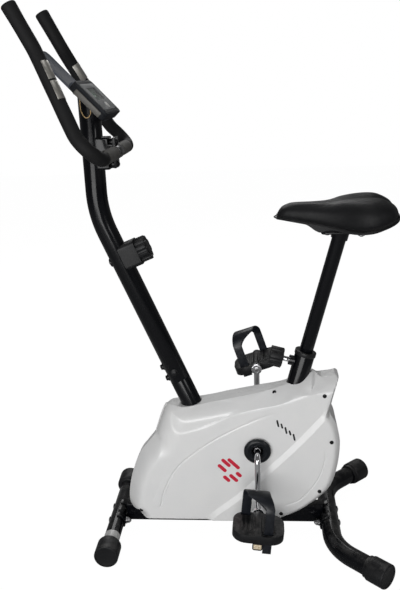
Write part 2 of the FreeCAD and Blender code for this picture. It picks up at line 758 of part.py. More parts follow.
def post_bolts():
    """Two bolts on the post's front and one on each side, with curved washers, and the tension block's screw."""
    pieces = []
    for height, out in ((448, post_rearward * -1), (420, post_rearward * -1), (433, ALONG_Y), (433, ALONG_Y * -1)):
        middle = post_point(height)
        seat = middle + out * post_radius
        washer = rod(seat - out * 4, seat + out * 1.6, 8.5).cut(rod(post_point(300), post_point(600), post_radius))
        shank = rod(seat - out * 5, seat + out * 2, shank_radius)
        head = hexagon(seat + out * 1.6, out, 12.0, 5.0)
        pieces.append(washer.cut(rod(seat - out * 8, seat + out * 8, shank_radius + 0.05)))
        pieces.append(shank.fuse(head))
    out = post_rearward * -1
    seat = tension_point(-post_radius)
    washer = rod(seat - out * 3, seat + out * 2, 10.0).cut(rod(post_point(tension_height - 70), post_point(tension_height + 70), post_radius))
    pieces.append(washer.fuse(dome(seat + out * 2, out, 8.5, 3.0)))
    return group(pieces)


def tension_housing():
    """Moulded block that saddles the post and carries the tension knob."""
    block = rounded_box(Vector(0, -23, -30), Vector(47, 23, 30), 9, 0)
    neck = Part.makeCylinder(20, 20, Vector(27, 0, 0), Vector(1, 0, 0))
    block = block.fuse(neck)
    block.Placement = FreeCAD.Placement(post_point(tension_height), Rotation(Vector(1, 0, 0), post_rearward))
    body = block.cut(rod(post_point(tension_height - 70), post_point(tension_height + 70), post_radius))
    return body.cut(rod(tension_point(10), tension_point(60), 4.0))


def tension_knob():
    body = rod(tension_point(48), tension_point(71), tension_knob_radius)
    flute_offset = ALONG_Y * (tension_knob_radius + 3.5)
    for flute in range(tension_flutes):
        groove = rod(tension_point(40) + flute_offset, tension_point(90) + flute_offset, flute_radius)
        groove.rotate(tension_point(0), post_rearward, 360 / tension_flutes * flute)
        body = body.cut(groove)
    sunk_face = rod(tension_point(69.5), tension_point(75), 22.0)
    dial = rod(tension_point(69), tension_point(72), 17.0)
    stem = rod(tension_point(30), tension_point(50), 3.95)
    return body.cut(sunk_face).fuse([dial, stem])


def tension_cable():
    """Outer casing of the brake cable, inside the post from the tension block to the brake arm."""
    route = [tension_point(6), post_point(672), post_point(560), post_point(450), post_point(345),
             Vector(172, 0, 306), Vector(206, 0, 282), Vector(224, 0, 264)]
    radii = []
    for index in range(1, len(route) - 1):
        before = route[index] - route[index - 1]
        after = route[index + 1] - route[index]
        turn = before.getAngle(after)
        shorter = min(before.Length, after.Length)
        if turn > 0.01:
            radii.append(0.45 * shorter / math.tan(turn / 2))
        else:
            radii.append(None)
    kept = [route[0]]
    kept_radii = []
    for point, radius in zip(route[1:-1], radii):
        if radius is not None:
            kept.append(point)
            kept_radii.append(min(radius, 60.0))
    kept.append(route[-1])
    print("tension cable radii", [round(r, 1) for r in kept_radii])
    return swept(bent_path(kept, kept_radii), 2.5)


# --- handlebar ----------------------------------------------------------------------------------------------
def bar_path(tip_inset):
    heading = (arm_upper_bend - arm_tip).normalize()
    tip = arm_tip + heading * tip_inset
    left = [tip, arm_upper_bend, arm_lower_bend, arm_corner]
    return bent_path(left + [mirrored(p) for p in reversed(left)], arm_radii + arm_radii[::-1])


def handlebar_tube():
    path = bar_path(3.0)
    return swept(path, bar_tube_radius).cut(swept(path, bar_tube_radius - 1.5))


def arm_grip(side):
    """Foam sleeve from the tip of an arm round the lower corner."""
    corner_end = Vector(bar_center.x, bar_straight_half, bar_center.z)
    path = bent_path([arm_tip, arm_upper_bend, arm_lower_bend, arm_corner, corner_end], arm_radii)
    sleeve = swept(path, grip_radius).cut(swept(bar_path(3.0), bar_tube_radius))
    return sleeve if side > 0 else to_other_side(sleeve)


def bar_grip(side):
    """Grey foam sleeve on the cross bar, from the corner to the clamp."""
    start = Vector(bar_center.x, bar_straight_half, bar_center.z)
    end = Vector(bar_center.x, 27, bar_center.z)
    sleeve = tube(start, end, grip_radius, bar_tube_radius)
    return sleeve if side > 0 else to_other_side(sleeve)


def pulse_plates(side):
    """Two stainless contact plates on the rider's side of an arm."""
    run = (arm_lower_bend - arm_upper_bend).normalize()
    rearward = Vector(-1, 0, 0)
    rearward = (rearward - run * rearward.dot(run)).normalize()
    plates = []
    for start in (34, 78):
        low = arm_upper_bend + run * start
        plate = tube(low, low + run * 40, grip_radius + 0.8, grip_radius)
        mask = Part.makeBox(60, 60, 40, Vector(-30, 4, 0))
        mask.Placement = FreeCAD.Placement(low, Rotation(ALONG_Y * -1, rearward, run, "ZYX"))
        plates.append(plate.common(mask))
    pair = group(plates)
    return pair if side > 0 else to_other_side(pair)


def clamp_seat():
    """Seat for the cross bar, welded to the rear of the post."""
    block = rounded_box(Vector(302, -24, 915), Vector(340, 24, 985), 5, 0)
    flat_ends = Part.makeBox(30, 60, 70, Vector(313 - 30, -30, 915))
    keep_middle = Part.makeBox(60, 60, 36, Vector(290, -30, bar_center.z - 18))
    block = block.cut(flat_ends.cut(keep_middle))
    block = block.cut(rod(Vector(post_bend.x, 0, 900), Vector(post_bend.x, 0, 1000), post_radius))
    return block.cut(disc(bar_center, ALONG_Y, bar_tube_radius + 0.06, 40))


def clamp_cap():
    """Bent strap that holds the cross bar in its seat."""
    band = ring(bar_center, ALONG_Y, bar_tube_radius + 4.5, bar_tube_radius + 0.06, 22)
    flange_low = Part.makeBox(4, 44, 30, Vector(303, -22, 918))
    flange_high = Part.makeBox(4, 44, 30, Vector(303, -22, 954))
    front_half = Part.makeBox(60, 60, 100, Vector(301.7, -30, 900))
    rear_band = band.cut(front_half)
    flanges = flange_low.fuse(flange_high).cut(disc(bar_center, ALONG_Y, bar_tube_radius + 4.5, 40))
    flanges.translate(Vector(-5.5, 0, 0))
    flanges = flanges.cut(disc(bar_center, ALONG_Y, bar_tube_radius + 0.06, 40))
    return rear_band.fuse(flanges)


def clamp_bolts():
    pieces = []
    for height in (973, 925):
        seat = Vector(297.4, 0, height)
        shank = rod(seat, seat + Vector(30, 0, 0), shank_radius)
        head = dome(seat, Vector(-1, 0, 0), 7.5, 5.0)
        pieces.append(shank.fuse(head))
        pieces.append(ring(seat + Vector(9.5, 0, 0), Vector(1, 0, 0), 9.0, shank_radius + 0.05, 4.8))
    return group(pieces)


# --- console ------------------------------------------------------------------------------------------------
def tablet_rest():
    """Thin back plate that leans behind a phone or tablet."""
    plate = rounded_box(Vector(-4, -52, -21), Vector(196, 52, -casing_depth), 16, 2)
    lip = Part.makeBox(4, 90, 9, Vector(93, -45, -casing_depth))
    return console_frame(plate.fuse(lip))


def console_back():
    tray = rounded_box(Vector(-6, -console_half_width, -casing_depth), Vector(90, console_half_width, -4), 12, 2)
    hollow = rounded_box(Vector(-3, -console_half_width + 3, -14), Vector(87, console_half_width - 3, 0), 9, 2)
    return console_frame(tray.cut(hollow))


def console_bezel():
    bezel = rounded_box(Vector(-6, -console_half_width, -4), Vector(90, console_half_width, bezel_rise), 12, 2)
    hollow = rounded_box(Vector(-3, -console_half_width + 3, -5), Vector(87, console_half_width - 3, 0.5), 9, 2)
    window = Part.makeBox(74, 122, 10, Vector(6, -61, -1))
    return console_frame(bezel.cut(hollow).cut(window))


def console_face():
    """Silver front panel with the screen's window and the button's hole."""
    face = rounded_box(Vector(6.2, -60.8, 0.6), Vector(79.8, 60.8, 3.6), 6, 2)
    window = Part.makeBox(lcd_height, 2 * lcd_half_width, 10, Vector(lcd_low, -lcd_half_width, -2))
    button_hole = Part.makeCylinder(button_radius + 0.3, 10, Vector(button_slope_run, 0, -2))
    return console_frame(face.cut(window).cut(button_hole))


def lcd_lens():
    return console_frame(Part.makeBox(lcd_height, 2 * lcd_half_width, 1.6, Vector(lcd_low, -lcd_half_width, 0.8)))


def console_board():
    return console_frame(Part.makeBox(78, 124, 1.6, Vector(4, -62, -7)))


def mode_button():
    cap = Part.makeCylinder(button_radius, 4.2, Vector(button_slope_run, 0, 0.9))
    stem = Part.makeCylinder(button_radius / 2, 4.2, Vector(button_slope_run, 0, -3.3))
    return console_frame(cap.fuse(stem))


def console_screws():
    pieces = []
    for s in (20, 80):
        for y in (-30, 30):
            shank = Part.makeCylinder(screw_radius, 7.9, Vector(s, y, -24))
            head = dome(Vector(s, y, -24), UP * -1, 4.5, 2.4)
            pieces.append(console_frame(shank.fuse(head)))
    return group(pieces)


def sensor_wire():
    """Loop of the pulse sensors' lead that hangs under the console."""
    route = [Vector(363, 29, 1073), Vector(364, 31, 1053), Vector(361, 33, 1037), Vector(352, 34, 1026),
             Vector(343, 33, 1032), Vector(341, 31, 1043), Vector(345.5, 29, 1054)]
    radii = []
    for index in range(1, len(route) - 1):
        before = route[index] - route[index - 1]
        after = route[index + 1] - route[index]
        radii.append(0.45 * min(before.Length, after.Length) / math.tan(before.getAngle(after) / 2))
    print("sensor wire radii", [round(r, 1) for r in radii])
    path = bent_path(route, radii)
    wire = swept(path, 1.0)
    print("sensor wire length", round(path.Length, 1), "volume over section", round(wire.Volume / math.pi, 1))
    return wire


# --- saving -------------------------------------------------------------------------------------------------
def both(maker):
    """A pair of pieces, left and right, that share one node."""
    return group([maker(1), maker(-1)])


def all_pieces():
    pieces = {
        "main_rail": main_rail(),
        "post_stub": post_stub(),
        "seat_tube": seat_tube(),
        "bottom_bracket": bottom_bracket(),
        "flywheel_brackets": both(flywheel_bracket),
        "front_stabilizer": front_stabilizer(),
        "rear_stabilizer": rear_stabilizer(),
        "foot_saddles": foot_saddles(),
        "front_caps": both(front_cap),
        "rear_caps": both(rear_cap),
        "stabilizer_bolts": stabilizer_bolts(),
        "bearings": bearings(),
        "drive_belt": drive_belt(),
        "brake_pin": brake_pin(),
        "left_housing": housing(1),
        "right_housing": housing(-1),
        "housing_screws": housing_screws(),
        "crank_covers": both(crank_cover),
        "seat_bush": seat_bush(),
        "handlebar_post": handlebar_post(),
        "post_bolts": post_bolts(),
        "tension_housing": tension_housing(),
        "tension_cable": tension_cable(),
        "clamp_cap": clamp_cap(),
        "clamp_bolts": clamp_bolts(),
        "tablet_rest": tablet_rest(),
        "console_back": console_back(),
        "console_bezel": console_bezel(),
        "console_face": console_face(),
        "lcd_lens": lcd_lens(),
        "console_board": console_board(),
        "console_screws": console_screws(),
        "sensor_wire": sensor_wire(),
        "crank": crank(),
        "pedal_spindles": pedal_spindles(),
        "drive_pulley": drive_pulley(),
        "flywheel": flywheel(),
        "flywheel_axle": flywheel_axle(),
        "flywheel_pulley": flywheel_pulley(),
        "brake_arm": brake_arm(),
        "brake_magnets": brake_magnets(),
        "seat_post": seat_post(),
        "seat_bolts": seat_bolts(),
        "saddle_base": saddle_base(),
        "saddle_cushion": saddle_cushion(),
        "knob_sleeve": knob_sleeve(),
        "seat_knob": seat_knob(),
        "seat_pin": seat_pin(),
        "tension_knob": tension_knob(),
        "handlebar_tube": handlebar_tube(),
        "arm_grips": both(arm_grip),
        "bar_grips": both(bar_grip),
        "pulse_plates": both(pulse_plates),
        "mode_button": mode_button(),
    }
    for name, side in (("left", 1), ("right", -1)):
        pieces["%s_pedal" % name] = on_pedal(pedal_body(), side)
        pieces["%s_strap" % name] = on_pedal(pedal_strap(), side)
        pieces["%s_reflector" % name] = on_pedal(pedal_reflector(), side)
    return pieces


def save(name, shape):
    shape.translate(Vector(crank_from_middle, 0, 0))
    if not shape.isValid():
        print("NOT VALID", name)
    shape.exportStep("parts/%s.step" % name)


os.makedirs("parts", exist_ok=True)
for piece_name, piece in all_pieces().items():
    save(piece_name, piece)
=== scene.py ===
import json
import math

import bmesh
import bpy
import numpy as np
from mathutils import Matrix, Vector
from mathutils.geometry import delaunay_2d_cdt
from mathutils.kdtree import KDTree


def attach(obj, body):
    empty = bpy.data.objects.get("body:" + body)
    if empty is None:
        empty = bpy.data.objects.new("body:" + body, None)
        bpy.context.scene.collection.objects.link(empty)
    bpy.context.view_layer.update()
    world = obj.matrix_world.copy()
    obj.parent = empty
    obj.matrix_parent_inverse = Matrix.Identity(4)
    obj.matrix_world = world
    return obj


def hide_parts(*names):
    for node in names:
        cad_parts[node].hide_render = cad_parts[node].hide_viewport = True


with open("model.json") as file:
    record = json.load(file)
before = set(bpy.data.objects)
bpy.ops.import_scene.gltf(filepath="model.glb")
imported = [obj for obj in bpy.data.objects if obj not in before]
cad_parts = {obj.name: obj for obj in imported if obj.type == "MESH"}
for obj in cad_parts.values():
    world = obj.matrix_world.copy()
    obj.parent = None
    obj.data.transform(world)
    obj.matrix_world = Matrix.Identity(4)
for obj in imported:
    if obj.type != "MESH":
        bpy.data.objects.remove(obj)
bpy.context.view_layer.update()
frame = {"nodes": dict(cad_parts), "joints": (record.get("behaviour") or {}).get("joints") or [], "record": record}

# Sizes below are millimetres from the crank axle in X, the middle plane in Y and the floor in Z,
# as a maker would measure the machine; at() turns them into the frame's metres.
MM = 0.001
UP = Vector((0, 0, 1))
joints = {joint["name"]: joint for joint in frame["joints"]}
crank_place = Vector(joints["crank_spin"]["pos_m"])
SIDES = (("left", 1), ("right", -1))


def at(x, y, z):
    return Vector((crank_place.x + x * MM, y * MM, z * MM))


# --- camera, floor and light --------------------------------------------------------------------------------
def camera():
    """Stands to the bike's left, level with the console, turned slightly down and about its own axis."""
    yaw, pitch, roll = 0.0900, 0.3007, -0.0416
    level_ahead = Vector((math.sin(yaw), -math.cos(yaw), 0))
    level_right = Vector((-math.cos(yaw), -math.sin(yaw), 0))
    ahead = level_ahead * math.cos(pitch) - UP * math.sin(pitch)
    level_up = UP * math.cos(pitch) + level_ahead * math.sin(pitch)
    right = level_right * math.cos(roll) + level_up * math.sin(roll)
    up = level_up * math.cos(roll) - level_right * math.sin(roll)
    data = bpy.data.cameras.new("camera")
    data.sensor_fit = "VERTICAL"
    data.sensor_height = 36.0
    data.lens = 43.465
    eye = bpy.data.objects.new("camera", data)
    turn = Matrix((right, up, -ahead)).transposed().to_4x4()
    turn.translation = at(-14.9, 1573.6, 1108.0)
    eye.matrix_world = turn
    bpy.context.collection.objects.link(eye)
    bpy.context.scene.camera = eye


def floor():
    """White sweep: the camera sees it nearly shadowless, and reflections see plain matt card."""
    bpy.ops.mesh.primitive_plane_add(size=14.0, location=(0, 0, 0))
    plane = bpy.context.object
    plane.name = "floor"
    material = bpy.data.materials.new("studio_floor")
    material.use_nodes = True
    tree = material.node_tree
    shader = tree.nodes["Principled BSDF"]
    shader.inputs["Base Color"].default_value = (0.42, 0.42, 0.42, 1)
    shader.inputs["Roughness"].default_value = 0.8
    shader.inputs["Specular IOR Level"].default_value = 0.1
    glow = tree.nodes.new("ShaderNodeEmission")
    glow.inputs["Color"].default_value = (1, 1, 1, 1)
    glow.inputs["Strength"].default_value = 1.12
    path = tree.nodes.new("ShaderNodeLightPath")
    share = tree.nodes.new("ShaderNodeMath")
    share.operation = "MULTIPLY"
    share.inputs[1].default_value = 0.88
    mix = tree.nodes.new("ShaderNodeMixShader")
    tree.links.new(path.outputs["Is Camera Ray"], share.inputs[0])
    tree.links.new(share.outputs[0], mix.inputs[0])
    tree.links.new(shader.outputs[0], mix.inputs[1])
    tree.links.new(glow.outputs[0], mix.inputs[2])
    tree.links.new(mix.outputs[0], tree.nodes["Material Output"].inputs["Surface"])
    plane.data.materials.append(material)


SURROUND_LEVEL = 0.14


def softbox(name, place, target, width, height, watts):
    data = bpy.data.lights.new(name, "AREA")
    data.shape = "RECTANGLE"
    data.size = width
    data.size_y = height
    data.energy = watts
    lamp = bpy.data.objects.new(name, data)
    lamp.location = place
    lamp.rotation_euler = (Vector(target) - Vector(place)).to_track_quat("-Z", "Y").to_euler()
    bpy.context.collection.objects.link(lamp)


def studio_light():
    """White behind for the camera; the bike itself is lit by a dim surround and large soft boxes."""
    world = bpy.data.worlds.new("studio")
    world.use_nodes = True
    tree = world.node_tree
    backdrop = tree.nodes["Background"]
    backdrop.inputs["Color"].default_value = (1.0, 1.0, 1.0, 1)
    path = tree.nodes.new("ShaderNodeLightPath")
    level = tree.nodes.new("ShaderNodeMapRange")
    level.inputs["To Min"].default_value = SURROUND_LEVEL
    level.inputs["To Max"].default_value = 1.0
    tree.links.new(path.outputs["Is Camera Ray"], level.inputs["Value"])
    tree.links.new(level.outputs[0], backdrop.inputs["Strength"])
    bpy.context.scene.world = world
    bpy.context.scene.view_settings.view_transform = "Standard"
    middle = (0, 0, 0.6)
    softbox("key", (0.8, 3.2, 1.15), middle, 2.6, 2.0, 84)
    softbox("fill", (-2.2, 2.2, 1.6), middle, 0.8, 0.8, 7)
    softbox("back", (0.4, -2.6, 2.6), middle, 1.8, 1.2, 26)
    softbox("overhead", (0, 0.1, 3.0), middle, 1.0, 1.0, 5)


camera()
floor()
studio_light()


# --- mesh helpers -------------------------------------------------------------------------------------------
def new_piece(name, vertices, faces, smooth_angle=30.0):
    mesh = bpy.data.meshes.new(name)
    mesh.from_pydata([tuple(v) for v in vertices], [], faces)
    piece = bpy.data.objects.new(name, mesh)
    bpy.context.collection.objects.link(piece)
    shade(piece, smooth_angle)
    return piece


def shade(piece, smooth_angle):
    mesh = piece.data
    mesh.polygons.foreach_set("use_smooth", [True] * len(mesh.polygons))
    mesh.set_sharp_from_angle(angle=math.radians(smooth_angle))


def close_up(piece, distance=1e-6):
    """Merge doubles and turn the faces outwards."""
    work = bmesh.new()
    work.from_mesh(piece.data)
    bmesh.ops.remove_doubles(work, verts=work.verts, dist=distance)
    bmesh.ops.recalc_face_normals(work, faces=work.faces)
    work.to_mesh(piece.data)
    work.free()


def settle(piece):
    """Turn a piece and its modifiers into a plain mesh."""
    graph = bpy.context.evaluated_depsgraph_get()
    graph.update()
    baked = bpy.data.meshes.new_from_object(piece.evaluated_get(graph))
    old = piece.data
    piece.modifiers.clear()
    piece.data = baked
    baked.name = piece.name
    if old.users == 0:
        bpy.data.meshes.remove(old)


def install(piece, body, slot, *nodes):
    """Give a finished piece its body, its material and the nodes it stands for."""
    piece.data.materials.clear()
    piece.data.materials.append(materials[slot])
    for face in piece.data.polygons:
        face.material_index = 0
    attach(piece, body)
    if nodes:
        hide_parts(*nodes)
    return piece


def rounded_path(corners, radii, step=6.0):
    """Points along straight runs joined by tangent arcs; everything in millimetres."""
    points = [Vector(corners[0])]
    for index in range(1, len(corners) - 1):
        corner = Vector(corners[index])
        back = (Vector(corners[index - 1]) - corner).normalized()
        ahead = (Vector(corners[index + 1]) - corner).normalized()
        half = back.angle(ahead) / 2
        radius = radii[index - 1]
        reach = radius / math.tan(half)
        middle = corner + (back + ahead).normalized() * (radius / math.sin(half))
        first = corner + back * reach - middle
        last = corner + ahead * reach - middle
        sweep = first.angle(last)
        pieces = max(3, int(radius * sweep / step))
        for part in range(pieces + 1):
            share = part / pieces
            spoke = (first * math.sin((1 - share) * sweep) + last * math.sin(share * sweep)) / math.sin(sweep)
            points.append(middle + spoke)
    points.append(Vector(corners[-1]))
    return points


def spaced(points, step):
    """Points at even steps along a chain of points."""
    chain = np.array([tuple(p) for p in points])
    lengths = np.concatenate([[0], np.cumsum(np.linalg.norm(np.diff(chain, axis=0), axis=1))])
    count = max(2, int(round(lengths[-1] / step)) + 1)
    wanted = np.linspace(0, lengths[-1], count)
    return np.stack([np.interp(wanted, lengths, chain[:, k]) for k in range(3)], axis=1)


def frames_along(points):
    """Two cross directions at each point of a chain, carried along without twist."""
    tangents = np.gradient(points, axis=0)
    tangents /= np.linalg.norm(tangents, axis=1)[:, None]
    start = np.array((0.0, 1.0, 0.0)) if abs(tangents[0][1]) < 0.9 else np.array((1.0, 0.0, 0.0))
    normals = []
    normal = start
    for tangent in tangents:
        normal = normal - tangent * normal.dot(tangent)
        normal /= np.linalg.norm(normal)
        normals.append(normal)
    normals = np.array(normals)
    return normals, np.cross(tangents, normals)


def bar_faces(rows, sides):
    """Faces that join rows of points into a bar and close both its ends."""
    faces = []
    for row in range(rows - 1):
        for k in range(sides):
            n = (k + 1) % sides
            faces.append((row * sides + k, row * sides + n, (row + 1) * sides + n, (row + 1) * sides + k))
    faces.append(tuple(range(sides))[::-1])
    faces.append(tuple((rows - 1) * sides + k for k in range(sides)))
    return faces


def swept_tube(name, points, radius_at, step=5.0, sides=40, end_round=0.0, smooth_angle=40.0):
    """A closed round bar along a chain; radius_at takes the distances along it and its whole length."""
    chain = spaced(points, step)
    length = np.linalg.norm(np.diff(chain, axis=0), axis=1).sum()
    distances = np.linspace(0, length, len(chain))
    if end_round:
        near = end_round * (1 - np.cos(np.radians((0, 20, 40, 60, 90))))
        between = distances[(distances > end_round) & (distances < length - end_round)]
        distances = np.unique(np.concatenate([between, near, length - near]).round(4))
    along = np.concatenate([[0], np.cumsum(np.linalg.norm(np.diff(chain, axis=0), axis=1))])
    chain = np.stack([np.interp(distances, along, chain[:, k]) for k in range(3)], axis=1)
    first, second = frames_along(chain)
    radii = radius_at(distances, length)
    if end_round:
        edge = np.minimum(np.minimum(distances, length - distances), end_round)
        radii = radii - end_round + np.sqrt(np.maximum(end_round ** 2 - (end_round - edge) ** 2, 0))
    angles = np.linspace(0, 2 * math.pi, sides, endpoint=False)
    vertices = []
    for center, side, rise, radius in zip(chain, first, second, radii):
        for angle in angles:
            vertices.append(at(*(center + radius * (math.cos(angle) * side + math.sin(angle) * rise))))
    piece = new_piece(name, vertices, bar_faces(len(chain), sides), smooth_angle)
    close_up(piece)
    shade(piece, smooth_angle)
    return piece


def steady(radius):
    return lambda distances, length: np.full(len(distances), float(radius))


def softened(node, body, slot, width=0.6, segments=2, smooth_angle=35.0, limit=30.0):
    """A copy of a CAD node with its hard edges rounded."""
    source = frame["nodes"][node]
    piece = bpy.data.objects.new("%s_finished" % node, source.data.copy())
    bpy.context.collection.objects.link(piece)
    close_up(piece, 1e-5)
    work = bmesh.new()
    work.from_mesh(piece.data)
    bmesh.ops.dissolve_limit(work, angle_limit=math.radians(1.0), verts=work.verts, edges=work.edges)
    work.to_mesh(piece.data)
    work.free()
    bevel = piece.modifiers.new("edge", "BEVEL")
    bevel.width = width * MM
    bevel.segments = segments
    bevel.limit_method = "ANGLE"
    bevel.angle_limit = math.radians(limit)
    bevel.use_clamp_overlap = True
    bevel.harden_normals = False
    settle(piece)
    shade(piece, smooth_angle)
    return install(piece, body, slot, node)


# --- shader groups ------------------------------------------------------------------------------------------
class Net:
    """Short hand for adding nodes to a tree and joining them."""

    def __init__(self, tree):
        self.tree = tree

    def node(self, kind, inputs=None, **settings):
        node = self.tree.nodes.new(kind)
        for key, value in settings.items():
            setattr(node, key, value)
        for key, value in (inputs or {}).items():
            self.feed(node, key, value)
        return node

    def feed(self, node, key, value):
        socket = node.inputs[key]
        if isinstance(value, bpy.types.NodeSocket):
            self.tree.links.new(value, socket)
        else:
            socket.default_value = value

    def math(self, operation, first, second=0.0, clamp=False):
        node = self.node("ShaderNodeMath", {0: first, 1: second}, operation=operation, use_clamp=clamp)
        return node.outputs[0]

    def remap(self, value, low, high, to_low=0.0, to_high=1.0):
        node = self.node("ShaderNodeMapRange", {0: value, 1: low, 2: high, 3: to_low, 4: to_high})
        return node.outputs[0]

    def blend(self, factor, first, second):
        node = self.node("ShaderNodeMix", data_type="RGBA")
        for key, value in (("Factor", factor), ("A", first), ("B", second)):
            socket = next(s for s in node.inputs if s.name == key and (key == "Factor" or s.type == "RGBA"))
            if isinstance(value, bpy.types.NodeSocket):
                self.tree.links.new(value, socket)
            else:
                socket.default_value = value
        return next(s for s in node.outputs if s.type == "RGBA")

    def noise(self, where, scale, detail=3.0, roughness=0.5):
        inputs = {"Vector": where, "Scale": scale, "Detail": detail, "Roughness": roughness}
        return self.node("ShaderNodeTexNoise", inputs).outputs[0]

    def place(self):
        return self.node("ShaderNodeTexCoord").outputs["Object"]


def shader_group(name, inputs, outputs):
    tree = bpy.data.node_groups.new(name, "ShaderNodeTree")
    for label, kind, value in inputs:
        socket = tree.interface.new_socket(label, in_out="INPUT", socket_type=kind)
        socket.default_value = value
    for label, kind in outputs:
        tree.interface.new_socket(label, in_out="OUTPUT", socket_type=kind)
    net = Net(tree)
    return tree, net, net.node("NodeGroupInput"), net.node("NodeGroupOutput")


def moulded_grain_group():
    """Fine spark-eroded grain of moulded plastic: a height and a slow variation."""
    tree, net, given, result = shader_group(
        "moulded_grain", [("Scale", "NodeSocketFloat", 900.0)],
        [("Height", "NodeSocketFloat"), ("Variation", "NodeSocketFloat")])
    where = net.place()
    cells = net.node("ShaderNodeTexVoronoi", {"Vector": where, "Scale": given.outputs["Scale"]},
                     feature="SMOOTH_F1")
    fine = net.noise(where, given.outputs["Scale"], 2.0)
    height = net.math("ADD", net.math("MULTIPLY", cells.outputs["Distance"], 0.6),
                      net.math("MULTIPLY", fine, 0.5))
    net.feed(result, "Height", height)
    net.feed(result, "Variation", net.remap(net.noise(where, 14.0, 4.0, 0.6), 0.3, 0.7))
    return tree


def leather_grain_group():
    """Pebbled vinyl grain with creases between the pebbles."""
    tree, net, given, result = shader_group(
        "leather_grain", [("Scale", "NodeSocketFloat", 700.0)],
        [("Height", "NodeSocketFloat"), ("Crease", "NodeSocketFloat")])
    where = net.place()
    wobble = net.node("ShaderNodeTexNoise", {"Vector": where, "Scale": 260.0, "Detail": 2.0})
    offset = net.node("ShaderNodeVectorMath", {0: wobble.outputs["Color"], 1: (0.0012, 0.0012, 0.0012)},
                      operation="MULTIPLY")
    moved = net.node("ShaderNodeVectorMath", {0: where, 1: offset.outputs[0]}, operation="ADD")
    cells = net.node("ShaderNodeTexVoronoi", {"Vector": moved.outputs[0], "Scale": given.outputs["Scale"]},
                     feature="DISTANCE_TO_EDGE")
    pebble = net.remap(cells.outputs["Distance"], 0.0, 0.22)
    net.feed(result, "Height", pebble)
    net.feed(result, "Crease", net.math("SUBTRACT", 1.0, pebble, clamp=True))
    return tree


def foam_pores_group():
    """Closed-cell foam skin: small pores of two sizes; the foam finish paints them dark as shade in the pits."""
    tree, net, given, result = shader_group(
        "foam_pores", [("Scale", "NodeSocketFloat", 900.0)],
        [("Height", "NodeSocketFloat"), ("Pore", "NodeSocketFloat")])
    where = net.place()
    small = net.node("ShaderNodeTexVoronoi", {"Vector": where, "Scale": given.outputs["Scale"]}, feature="F1")
    pore = net.remap(small.outputs["Distance"], 0.12, 0.34, 1.0, 0.0)
    rough = net.noise(where, 420.0, 4.0, 0.7)
    picked = net.math("MULTIPLY", pore, net.remap(rough, 0.45, 0.6))
    net.feed(result, "Pore", picked)
    net.feed(result, "Height", net.math("SUBTRACT", net.math("MULTIPLY", rough, 0.5), picked))
    return tree


def top_dust_and_shade_group():
    """A mask of faces that look upwards, in patches: faint dust on the dark finishes, painted top shade on the white
    shell.
    """
    tree, net, given, result = shader_group(
        "settled_dust", [("Amount", "NodeSocketFloat", 0.3)], [("Mask", "NodeSocketFloat")])
    normal = net.node("ShaderNodeNewGeometry").outputs["Normal"]
    height = net.node("ShaderNodeSeparateXYZ", {0: normal}).outputs["Z"]
    facing = net.remap(height, 0.55, 1.0)
    patches = net.remap(net.noise(net.place(), 46.0, 6.0, 0.65), 0.42, 0.72)
    amount = net.math("MULTIPLY", net.math("MULTIPLY", facing, patches), given.outputs["Amount"])
    net.feed(result, "Mask", amount)
    return tree


def hairlines_group():
    """Sparse fine scratches in two directions, as handling leaves on a gloss surface."""
    tree, net, given, result = shader_group(
        "hairlines", [("Amount", "NodeSocketFloat", 0.5)], [("Mask", "NodeSocketFloat")])
    where = net.place()
    marks = []
    for turn, squeeze in (((0.4, 0.2, 0.9), (18, 900, 420)), ((1.1, 0.7, 0.1), (700, 16, 500))):
        mapping = net.node("ShaderNodeMapping", {"Vector": where, "Rotation": turn, "Scale": squeeze})
        streak = net.node("ShaderNodeTexNoise", {"Vector": mapping.outputs[0], "Scale": 1.0, "Detail": 1.0})
        marks.append(net.remap(streak.outputs[0], 0.69, 0.74))
    seen = net.remap(net.noise(where, 9.0, 2.0), 0.5, 0.62)
    total = net.math("MULTIPLY", net.math("MAXIMUM", marks[0], marks[1]), seen)
    net.feed(result, "Mask", net.math("MULTIPLY", total, given.outputs["Amount"]))
    return tree


def smudges_group():
    """Soft cloudy variation of the gloss, from wiping and finger marks."""
    tree, net, given, result = shader_group(
        "smudges", [("Scale", "NodeSocketFloat", 22.0)], [("Mask", "NodeSocketFloat")])
    where = net.place()
    clouds = net.noise(where, given.outputs["Scale"], 5.0, 0.62)
    net.feed(result, "Mask", net.remap(clouds, 0.35, 0.7))
    return tree


groups = {tree.name: tree for tree in (moulded_grain_group(), leather_grain_group(), foam_pores_group(),
                                       top_dust_and_shade_group(), hairlines_group(), smudges_group())}
materials = {}


class Finish(Net):
    """A material under construction: its shader, and the bumps and masks that feed it."""

    def __init__(self, name):
        self.material = bpy.data.materials.new(name)
        self.material.use_nodes = True
        super().__init__(self.material.node_tree)
        self.shader = self.tree.nodes["Principled BSDF"]
        materials[name] = self.material

    def use(self, group, **inputs):
        node = self.node("ShaderNodeGroup", node_tree=groups[group])
        for key, value in inputs.items():
            self.feed(node, key, value)
        return node

    def set(self, **values):
        for key, value in values.items():
            self.feed(self.shader, key.replace("_", " "), value)

    def bump(self, height, distance, strength=1.0, under=None):
        inputs = {"Height": height, "Distance": distance, "Strength": strength}
        if under is not None:
            inputs["Normal"] = under
        return self.node("ShaderNodeBump", inputs).outputs[0]


